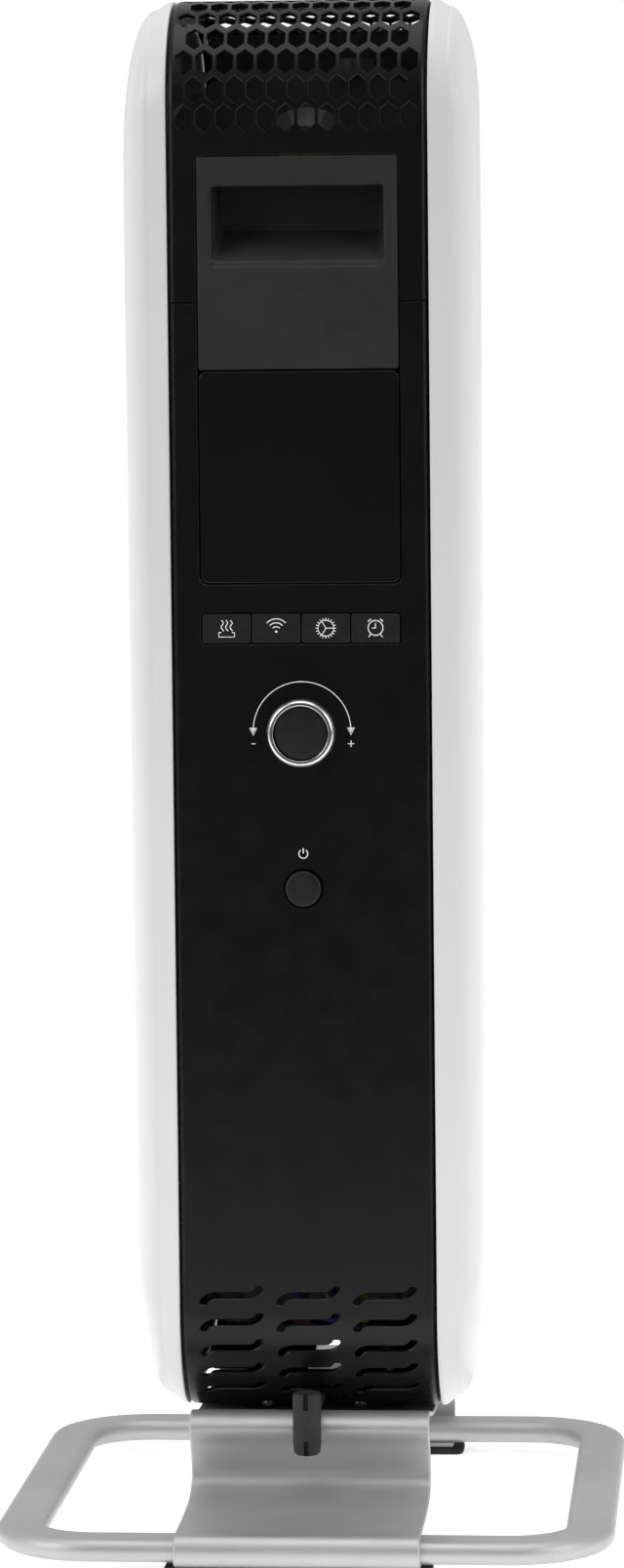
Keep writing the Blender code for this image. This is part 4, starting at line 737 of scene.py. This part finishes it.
def casing(name, side):
    """Pressed tray: hem, narrow land, rounded shoulder and a large side face."""
    rim = COVER_HALF + COVER_GROOVE
    land = LAND_WIDTH / (FRONT_WIDTH / 2 - rim)
    land_fall = LAND_FALL / SHOULDER_DEPTH
    steps, fill, shoulder_steps = 20, 14, 22
    hem_radius = 0.0006
    stations = [(0.04 * land, 0), (0.29 * land, land_fall * 0.15 ** 1.5), (land, land_fall)]
    for i in range(1, shoulder_steps + 1):
        angle = math.pi / 2 * i / shoulder_steps
        stations.append((land + (1 - land) * math.sin(angle),
                         land_fall + (1 - land_fall) * (1 - math.cos(angle))))
    outer = [casing_ring(w, f, 0.0, steps, fill) for w, f in stations]
    inner = [casing_ring(w, f, CASING_WALL, steps, fill) for w, f in stations]
    roll = []
    for i in range(ROLL_STEPS):
        angle = math.pi / 2 * i / (ROLL_STEPS - 1)
        ring = casing_ring(0, 0, hem_radius * (1 - math.sin(angle)), steps, fill)
        roll.append([(rim + hem_radius * (1 - math.cos(angle)), y, z) for _, y, z in ring])
    hem = [(rim, y, z) for _, y, z in casing_ring(0, 0, CASING_HEM, steps, fill)]
    hem_in = [(rim + CASING_WALL, y, z) for _, y, z in hem]
    inner[0] = [(rim + CASING_WALL, y, z) for _, y, z in inner[0]]
    rings = outer[::-1] + roll[::-1] + [hem, hem_in] + inner
    verts, faces = skin([[(side * x, y, z) for x, y, z in ring] for ring in rings])
    count = len(rings[0])
    half = 2 * (steps + 1) + fill
    for first in (0, (len(rings) - 1) * count):
        for i in range(half - 1):
            faces.append((first + i, first + i + 1, first + count - 2 - i, first + count - 1 - i))
    mesh = mesh_from(verts, faces)
    piece(name + "_pressing", mesh, ENAMEL, replaces=(name,), sharp=60)


# Handle inserts, window and keys ----

def handle_insert(name, mirrored):
    """Plate with a finger scoop: sharp upper lip, soft sloping floor."""
    sign, plane = (-1, REAR_Y) if mirrored else (1, FRONT_Y)
    top = PANEL_TOP_Z - SCOOP_DROP
    floor = top - SCOOP_HEIGHT
    wall = 0.0022
    steps = 8

    def ring(low_z, high_z, half_x, radius, depth):
        centre = (0, (low_z + high_z) / 2)
        outline = rounded_rectangle(half_x, (high_z - low_z) / 2, radius, steps, 12, centre)
        return [(x, plane + sign * depth, z) for x, z in outline]

    low, high = INSERT_BOTTOM_Z, PANEL_TOP_Z
    edge = 0.0005
    part_way = 0.3 * edge
    rings = [ring(low, high, PANEL_HALF, 0.0012, wall), ring(low, high, PANEL_HALF, 0.0012, edge),
             ring(low + part_way, high - part_way, PANEL_HALF - part_way, 0.001, part_way),
             ring(low + edge, high - edge, PANEL_HALF - edge, 0.0008, 0.0)]
    mouth, lip_depth, soft = SCOOP_WIDTH / 2, 0.0024, 0.0034
    for i in range(steps + 1):
        turn = math.pi / 2 * i / steps
        away = 1 - math.sin(turn)
        sink = 1 - math.cos(turn)
        rings.append(ring(floor - soft * away, top + 0.0006 * away, mouth + 0.0012 * away,
                          0.0016 + 0.0012 * away, 0.0006 + (lip_depth - 0.0006) * sink if i else 0.0))
    floor_steps, floor_rise, roof_rise = 14, 0.0118, 0.0045
    for i in range(1, floor_steps + 1):
        t = i / floor_steps
        depth = lip_depth + (SCOOP_DEPTH - lip_depth) * t
        rings.append(ring(floor + floor_rise * t ** 0.9, top + roof_rise * min(1.0, 2.5 * t),
                          mouth - 0.0016 * t, 0.0024, depth))
    rings.append(ring(floor + 0.0150, top + 0.0015, mouth - 0.005, 0.003, SCOOP_DEPTH + 0.0006))
    verts, faces = skin(rings)
    faces.append(tuple(range(len(verts) - len(rings[0]), len(verts))))
    mesh = mesh_from(verts, faces)
    piece(name + "_moulding", mesh, CHARCOAL, replaces=(name,), sharp=35)


def window():
    corner, edge = 0.0032, 0.0005
    mesh = plate(window_low, window_high, corner, edge, 10)
    piece("window_pane", mesh, WINDOW, replaces=("display_window",))


def tubes(name, paths, radius, resolution, finish, body):
    """Round lines along paths of (points, closed)."""
    curve = bpy.data.curves.new(name, "CURVE")
    curve.dimensions = "3D"
    curve.bevel_depth = radius
    curve.bevel_resolution = resolution
    curve.use_fill_caps = True
    for path, closed in paths:
        spline = curve.splines.new("POLY")
        spline.points.add(len(path) - 1)
        for point, place in zip(spline.points, path):
            point.co = (*place, 1)
        spline.use_cyclic_u = closed
    curve.materials.append(finish)
    made = bpy.data.objects.new(name, curve)
    bpy.context.scene.collection.objects.link(made)
    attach(made, body)


def strokes(name, paths, centre, body, radius, y):
    """Printed legend: thin raised lines that stand on a front face."""
    placed = [([(centre[0] + u, y, centre[1] + v) for u, v in path], closed) for path, closed in paths]
    tubes(name, placed, radius, 1, PRINT_PAINTED_GLOW, body)


def heat_icon():
    wave = [(-0.0004, 0.0034), (0.0003, 0.0022), (-0.0006, 0.0007), (0.0004, -0.0010)]
    waves = [(smooth_line([(x + u, v) for u, v in wave], 6), False) for x in (-0.0016, 0.0002, 0.0020)]
    tray = [(-0.0022, -0.0016), (-0.0032, -0.0016), (-0.0032, -0.0034), (0.0032, -0.0034), (0.0032, -0.0016),
            (0.0022, -0.0016)]
    return waves + [(tray, False)]


def wireless_icon():
    arcs = [(arc((0, -0.0012), r, 42, 138, 14), False) for r in (0.0019, 0.0035, 0.0051)]
    dot = (circle(0.00030, 10, (0, -0.0013)), True)
    return arcs + [dot]


def gear_icon():
    def ray(start, end, angle):
        turn = math.radians(angle)
        return [(reach * math.cos(turn), reach * math.sin(turn)) for reach in (start, end)], False

    teeth = [ray(0.0033, 0.0042, 18 * i) for i in range(20)]
    spokes = [ray(0.0, 0.0031, 120 * i) for i in range(3)]
    return [(circle(0.0032, 36), True)] + teeth + spokes


def timer_icon():
    hands = ([(0.0, 0.0019), (0.0, 0.0), (-0.0014, 0.0)], False)
    bells = [(arc((0, 0), 0.0040, a, b, 8), False) for a, b in ((40, 64), (116, 140))]
    feet = [([(side * 0.0019, -0.0024), (side * 0.0028, -0.0037)], False) for side in (-1, 1)]
    return [(circle(0.0030, 36), True), hands] + bells + feet


def keys():
    """Four keys with softly rolled edges and their printed symbols."""
    icons = {"heat_key": heat_icon, "wireless_key": wireless_icon, "settings_key": gear_icon,
             "timer_key": timer_icon}
    corner, edge, fine, bold = 0.0009, 0.0004, 0.00026, 0.00034
    for name, icon in icons.items():
        low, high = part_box(name)
        mesh = plate(low, high, corner, edge, 4)
        piece(name + "_cap", mesh, KEY_BLACK, body=name, replaces=(name,))
        middle = ((low.x + high.x) / 2, (low.z + high.z) / 2)
        width = fine if name == "settings_key" else bold
        strokes(name + "_legend", icon(), middle, name, width, low.y + 0.7 * width)


# Dial and power button ----

def dial():
    """Silver ring with a rounded rim, and the dark cap inside it."""
    face, back = dial_low.y, FRONT_Y - 0.0005
    radius = dial_high.x
    inner = 0.0112
    cup = face + 0.0058
    shaft, rim, rim_fall = 0.0030, 0.0014, 0.0018
    profile = [(0, cup), (inner, cup), (inner, face + 0.0002), (inner + rim, face), (radius, face + rim_fall),
               (radius, back), (shaft, back), (shaft, dial_high.y), (0, dial_high.y)]
    radii = [0, 0.0003, 0.0003, 0.0009, 0.0012, 0.0003, 0, 0.0003, 0]
    mesh = turned(softened(profile, radii), 96, centre=(0, 0, DIAL_Z))
    piece("dial_ring_rim", mesh, CHROME, body="dial", replaces=("dial_ring",))
    cap_radius = cap_high.x
    low, high = cap_low.y, cap_high.y
    crown = [(0, low), (cap_radius * 0.5, low + 0.00006), (cap_radius * 0.8, low + 0.00022),
             (cap_radius, low + 0.0006), (cap_radius, high), (0, high)]
    radii = [0, 0.0004, 0.0004, 0.0005, 0.0003, 0]
    mesh = turned(softened(crown, radii), 80, centre=(0, 0, DIAL_Z))
    piece("dial_cap_face", mesh, KEY_BLACK, body="dial_cap", replaces=("dial_cap",))


def control_legends():
    """Printed arc with its arrowheads, minus and plus round the dial, and the power sign."""
    reach, rise = 0.0199, 0.0007
    sweep = (arc((0, rise), reach, -2, 182, 72), False)
    heads = []
    for side in (-1, 1):
        for inset in (0.0, 0.0004, 0.0008, 0.0011):
            x = side * reach
            heads.append(([(x - 0.0015 + inset, 0.0018 - 0.4 * inset), (x, -0.0012 + 1.6 * inset),
                           (x + 0.0015 - inset, 0.0018 - 0.4 * inset)], True))
    minus = ([(-0.0207, -0.0046), (-0.0190, -0.0046)], False)
    arm, level = 0.0013, -0.0047
    plus = [([(reach - arm, level), (reach + arm, level)], False),
            ([(reach, level + arm), (reach, level - arm)], False)]
    strokes("dial_legend", [sweep, minus] + heads + plus, (0, DIAL_Z), ROOT, 0.00027, FRONT_Y + 0.00018)
    ring = (arc((0, 0), 0.0018, 125, 415, 28), False)
    stem = ([(0, 0.0002), (0, 0.0023)], False)
    strokes("power_legend", [ring, stem], (0, BUTTON_Z + 0.0142), ROOT, 0.00036, FRONT_Y + 0.00025)


def power_button():
    """Round button with a faintly dished face."""
    radius = button_high.x
    low, high = button_low.y, button_high.y
    profile = [(0, low + 0.0001), (radius * 0.7, low), (radius, low + 0.0002), (radius, high), (0, high)]
    mesh = turned(softened(profile, [0, 0.0008, 0.0009, 0.0003, 0], 6), 72,
                  centre=(0, 0, BUTTON_Z))
    piece("power_button_cap", mesh, KEY_BLACK, body="power_button",
          replaces=("power_button",))


# Base ----

TUBE_TOP_Z = loop_high.z
TUBE_BOTTOM_Z = loop_low.z
TUBE_HEIGHT = TUBE_TOP_Z - TUBE_BOTTOM_Z
BASE_FRONT, BASE_REAR = loop_low.y, loop_high.y


def base_loop():
    """Flat-oval tube bent into a closed loop."""
    half_x = loop_high.x - TUBE_WIDTH / 2
    half_y = (BASE_REAR - BASE_FRONT - TUBE_WIDTH) / 2
    radius = TUBE_CORNER - TUBE_WIDTH / 2
    end_radius = TUBE_HEIGHT / 2
    flat = TUBE_WIDTH / 2 - end_radius
    end_steps, turn_steps = 16, 24
    section = []
    for sign in (1, -1):
        for i in range(end_steps + 1):
            angle = math.pi * (i / end_steps - 0.5) + (0 if sign > 0 else math.pi)
            section.append((sign * flat + end_radius * math.cos(angle), end_radius * math.sin(angle)))
    middle = (TUBE_BOTTOM_Z + TUBE_TOP_Z) / 2
    rings = []
    for index, (sign_x, sign_y) in enumerate(((1, 1), (-1, 1), (-1, -1), (1, -1))):
        for i in range(turn_steps + 1):
            angle = math.pi / 2 * (index + i / turn_steps)
            out = (math.cos(angle), math.sin(angle))
            x = sign_x * (half_x - radius) + radius * out[0]
            y = sign_y * (half_y - radius) + radius * out[1]
            rings.append([(x + u * out[0], y + u * out[1], middle + v) for u, v in section])
    piece("base_loop_tube", loft(rings, closed=True), SATIN,
          replaces=("base_loop",), sharp=60)


def hook(edge_y, side, start_angle, end_angle, steps):
    """Stretch of the sheet's line that wraps round the outer side of a tube."""
    end_radius = TUBE_HEIGHT / 2
    offset = end_radius + TOUCH_GAP + SHEET_THICKNESS / 2
    centre = (edge_y - side * end_radius, TUBE_BOTTOM_Z + end_radius)
    return [(centre[0] + side * u, v) for u, v in arc((0, centre[1]), offset, start_angle, end_angle, steps)]


def sheet_line():
    """Centre line of the base sheet: front hook, waist, bulge, seat under the body, rear hook."""
    under_z = sheet_low.z + SHEET_THICKNESS / 2
    over_z = TUBE_TOP_Z + TOUCH_GAP + SHEET_THICKNESS / 2
    seat_z = BOTTOM_Z - SEAT_GAP - SHEET_THICKNESS / 2
    waist, bulge = BASE_FRONT + SHEET_WAIST, BASE_FRONT + SHEET_BULGE
    seat_start = FRONT_Y + CORNER_RADIUS
    shape = [(BASE_FRONT + 0.014, over_z), (waist - 0.030, over_z + 0.0004), (waist - 0.009, over_z + 0.0026),
             (waist, over_z + 0.0095), (waist - 0.0035, seat_z - 0.0075), (bulge, seat_z + 0.0005),
             (bulge + 0.006, seat_z + 0.0058), (bulge + 0.016, seat_z + 0.0045),
             (seat_start - 0.016, seat_z + 0.0013), (seat_start, seat_z)]
    drop = BASE_REAR + TOUCH_GAP + SHEET_THICKNESS / 2
    bend, tail = 0.010, 0.004
    corner = arc((drop - bend, seat_z - bend), bend, 90, 0, 18)
    start = [(BASE_FRONT + TUBE_WIDTH - tail, under_z)]
    end = [(BASE_REAR - TUBE_WIDTH + tail, under_z)]
    return (start + hook(BASE_FRONT, -1, -90, 90, 24) + smooth_line(shape, 14) + corner
            + hook(BASE_REAR, 1, 0, -90, 12) + end)


def base_sheet():
    """Pressed sheet with softly rounded long edges."""
    line = sheet_line()
    half_x, half_t = sheet_high.x, SHEET_THICKNESS / 2
    section = rounded_rectangle(half_x, half_t, half_t * 0.95, 5, 10)
    rings = []
    for i, point in enumerate(line):
        before = Vector(line[max(i - 1, 0)])
        after = Vector(line[min(i + 1, len(line) - 1)])
        along = (after - before).normalized()
        across = Vector((-along.y, along.x))
        rings.append([(x, point[0] + across.x * t, point[1] + across.y * t) for x, t in section])
    piece("base_sheet_pressing", loft(rings), SATIN,
          replaces=("base_sheet",), sharp=60)


def glide_pads():
    """Rubber pads under the tubes, with eased edges."""
    for name in ("front_glide_pad", "rear_glide_pad"):
        low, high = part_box(name)
        middle = ((low.x + high.x) / 2, (low.y + high.y) / 2)
        half = ((high.x - low.x) / 2, (high.y - low.y) / 2)
        rings = []
        for inset, z in ((0.0006, low.z), (0.0001, low.z + 0.0006), (0.0, high.z - 0.0006), (0.0006, high.z)):
            ring = rounded_rectangle(half[0] - inset, half[1] - inset, 0.004 - inset, 8, 0, middle)
            rings.append([(x, y, z) for x, y in ring])
        piece(name + "_rubber", loft(rings), RUBBER, replaces=(name,))


# Gland and wires ----

def cord_gland():
    """Split boot, with a slit at each end of its front, on a flat neck."""
    radius = gland_high.x
    axis_y = gland_low.y + radius
    bottom, top = gland_low.z, gland_high.z
    slit_half, slit_depth, count = 0.00084, 0.0022, 72
    heights = [(bottom, 0.0022, False), (bottom + 0.0003, 0.0012, True), (bottom + 0.0012, 0.0004, True),
               (bottom + 0.004, 0.0001, True), (bottom + 0.0060, 0.0, True), (bottom + 0.0064, 0.0, False),
               (top - 0.0068, 0.0, False), (top - 0.0064, 0.0, True), (top - 0.0010, 0.0, True),
               (top - 0.0003, 0.0004, True), (top, 0.0012, False)]
    rings = []
    for z, inset, open_slit in heights:
        ring = []
        for u, v in circle(radius - inset, count):
            if open_slit and v < 0 and abs(u) < slit_half:
                v += slit_depth
            ring.append((u, axis_y + v, z))
        rings.append(ring)
    piece("cord_gland_boot", loft(rings), CHARCOAL,
          replaces=("cord_gland",), sharp=40)
    neck_half, neck_top, neck_thick = 0.005, top - 0.0062, 0.0032
    section = rounded_rectangle(neck_half, neck_thick / 2, 0.0008, 4, 0, (0, neck_top - neck_thick / 2))
    rings = [[(x, y, z) for x, z in section] for y in (axis_y, gland_high.y)]
    piece("cord_gland_neck", loft(rings), CHARCOAL)


def vent_painted_shade_sheet():
    """Thin dark sheet just inside the lower vents of the rear cover, bent to follow its curve: painted shade
    that keeps the vents dark.
    """
    half, reach_up, reach_down = COVER_HALF - 0.006, 0.022, 0.0495
    near, far = 0.0040, 0.0048
    rings = []
    for s in even_folds(LOWER_ARC_END - reach_down, LOWER_ARC_END + reach_up, FOLD_STEP):
        ring = []
        for x, inset in ((-half, far), (half, far), (half, near), (-half, near)):
            y, z = outline_point(s, inset)
            ring.append((x, 2 * MIDDLE_Y - y, z))
        rings.append(ring)
    piece("rear_vent_painted_shade_sheet", loft(rings), BLACK)


def wires():
    """Three insulated wires that hang in a loop behind the lower vents."""
    terminal_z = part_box("terminal_block")[0].z
    spacing, thickness = 0.012, 0.0026
    colours = {"live_wire": ((0.10, 0.035, 0.015), (0.16, 0.06, 0.03)),
               "neutral_wire": ((0.02, 0.05, 0.20), (0.04, 0.09, 0.30)),
               "earth_wire": ((0.10, 0.16, 0.02), (0.20, 0.26, 0.04))}
    for index, (name, (dark, light)) in enumerate(colours.items()):
        x = (index - 1) * spacing
        y = FRONT_Y + 0.010 + 0.003 * index
        route = [(x - 0.014, y + 0.010, terminal_z), (x - 0.018, y + 0.004, terminal_z - 0.020),
                 (x - 0.006, y, BOTTOM_Z + 0.052), (x + 0.010, y + 0.002, BOTTOM_Z + 0.040),
                 (x + 0.009, y + 0.010, BOTTOM_Z + 0.052), (x + 0.002, y + 0.016, BOTTOM_Z + 0.068)]
        finish = wire_material(name + "_skin", dark, light)
        path = (smooth_line(route, 8), False)
        tubes(name, [path], thickness / 2, 4, finish, ROOT)


def kept_nodes():
    """Solids that stay as they are get their procedural finish."""
    slot_of = {part["node"]: part["material_slot"] for part in frame["record"]["subparts"]}
    finishes = {"zinc_steel": zinc_in_painted_shade(), "grey_enamel": columns_in_painted_shade(), "brass": brass_material(),
                "circuit_board": board_material(), "component_plastic": component_material(),
                "screw_black": screw_material(), "white_enamel": ENAMEL, "black_plastic": BLACK,
                "satin_aluminium": SATIN, "charcoal_plastic": CHARCOAL, "window_gloss": WINDOW,
                "dial_silver": CHROME, "rubber": RUBBER}
    for name, node in frame["nodes"].items():
        for material_slot in node.material_slots:
            material_slot.material = finishes[slot_of[name]]


# Stage ----

def studio():
    """Pale floor that meets a white surround, a bright surround for reflections and three softboxes."""
    floor = bpy.data.objects.new("studio_floor", bpy.data.meshes.new("studio_floor"))
    floor.data.from_pydata([(-30, -30, 0), (30, -30, 0), (30, 30, 0), (-30, 30, 0)], [], [(0, 1, 2, 3)])
    bpy.context.scene.collection.objects.link(floor)
    s = Shader("studio_floor_paint", specular_ior_level=0.1, emission_color=(1, 1, 1, 1))
    tone = s.tint(s.noise(3, 3), (0.90, 0.90, 0.90), (0.93, 0.93, 0.93))
    s.roughness(s.noise(8, 3), 0.75, 0.9)
    parts = s.nodes.new("ShaderNodeSeparateXYZ")
    s.links.new(s.place, parts.inputs["Vector"])
    reach = s.spread(parts.outputs["Y"], 0.05, 1.0, -1.1, -0.35)
    seen = s.nodes.new("ShaderNodeLightPath").outputs["Is Camera Ray"]
    level = s.nodes.new("ShaderNodeMath")
    level.operation = "MAXIMUM"
    for source, target in zip((reach, seen), level.inputs):
        s.links.new(source, target)
    shade = s.nodes.new("ShaderNodeMix")
    shade.data_type = "RGBA"
    shade.inputs["A"].default_value = (0.02, 0.02, 0.02, 1)
    s.links.new(level.outputs["Value"], shade.inputs["Factor"])
    s.links.new(tone, shade.inputs[7])
    s.links.new(shade.outputs[2], s.shader.inputs["Base Color"])
    glow = s.nodes.new("ShaderNodeMath")
    glow.operation = "MULTIPLY"
    glow.inputs[1].default_value = 0.56
    s.links.new(level.outputs["Value"], glow.inputs[0])
    s.links.new(glow.outputs["Value"], s.shader.inputs["Emission Strength"])
    floor.data.materials.append(s.made)

    world = bpy.data.worlds.new("studio_world")
    bpy.context.scene.world = world
    world.use_nodes = True
    nodes, links = world.node_tree.nodes, world.node_tree.links
    seen = nodes["Background"]
    seen.inputs["Color"].default_value = (1, 1, 1, 1)
    light = nodes.new("ShaderNodeBackground")
    place = nodes.new("ShaderNodeTexCoord")
    parts = nodes.new("ShaderNodeSeparateXYZ")
    links.new(place.outputs["Generated"], parts.inputs["Vector"])
    shade = nodes.new("ShaderNodeMapRange")
    shade.interpolation_type = "SMOOTHSTEP"
    for key, value in (("From Min", -1.0), ("From Max", -0.45), ("To Min", 0.07), ("To Max", 0.80)):
        shade.inputs[key].default_value = value
    links.new(parts.outputs["Y"], shade.inputs["Value"])
    links.new(shade.outputs["Result"], light.inputs["Strength"])
    path = nodes.new("ShaderNodeLightPath")
    mix = nodes.new("ShaderNodeMixShader")
    links.new(path.outputs["Is Camera Ray"], mix.inputs["Fac"])
    links.new(light.outputs["Background"], mix.inputs[1])
    links.new(seen.outputs["Background"], mix.inputs[2])
    links.new(mix.outputs["Shader"], nodes["World Output"].inputs["Surface"])

    for name, place, size, power in (("left_softbox", (-2.2, -1.6, 1.5), 1.6, 25),
                                     ("right_softbox", (2.4, -1.4, 1.4), 1.6, 18),
                                     ("top_softbox", (0.0, -0.4, 2.8), 2.0, 20)):
        data = bpy.data.lights.new(name, "AREA")
        data.size = size
        data.energy = power
        lamp = bpy.data.objects.new(name, data)
        lamp.location = place
        aim = Vector((0, 0, 0.32)) - Vector(place)
        lamp.rotation_euler = aim.to_track_quat("-Z", "Y").to_euler()
        bpy.context.scene.collection.objects.link(lamp)


def camera():
    """Long lens, a little to the right of the heater and looking slightly down."""
    yaw, pitch, roll = math.radians(4.715), math.radians(5.027), math.radians(-0.579)
    forward = Vector((-math.sin(yaw) * math.cos(pitch), math.cos(yaw) * math.cos(pitch), -math.sin(pitch)))
    right = Vector((math.cos(yaw), math.sin(yaw), 0))
    up = right.cross(forward)
    right, up = right * math.cos(roll) + up * math.sin(roll), up * math.cos(roll) - right * math.sin(roll)
    data = bpy.data.cameras.new("studio_camera")
    data.lens = 125.07
    data.sensor_width = 36
    data.clip_end = 100
    made = bpy.data.objects.new("studio_camera", data)
    turn = Matrix((right, up, -forward)).transposed()
    made.matrix_world = Matrix.Translation((0.1851, BASE_FRONT - 2.1297, 0.5062)) @ turn.to_4x4()
    bpy.context.scene.collection.objects.link(made)
    bpy.context.scene.camera = made


camera()
studio()
kept_nodes()
casing("left_casing", -1)
casing("right_casing", 1)
end_cover("front_cover", WINDOW_BOTTOM_Z, True, False)
end_cover("rear_cover", INSERT_BOTTOM_Z, False, True)
top_grille()
handle_insert("front_handle_insert", False)
handle_insert("rear_handle_insert", True)
window()
keys()
dial()
control_legends()
power_button()
base_loop()
base_sheet()
glide_pads()
cord_gland()
vent_painted_shade_sheet()
wires()
bpy.context.scene.view_settings.view_transform = "Standard"
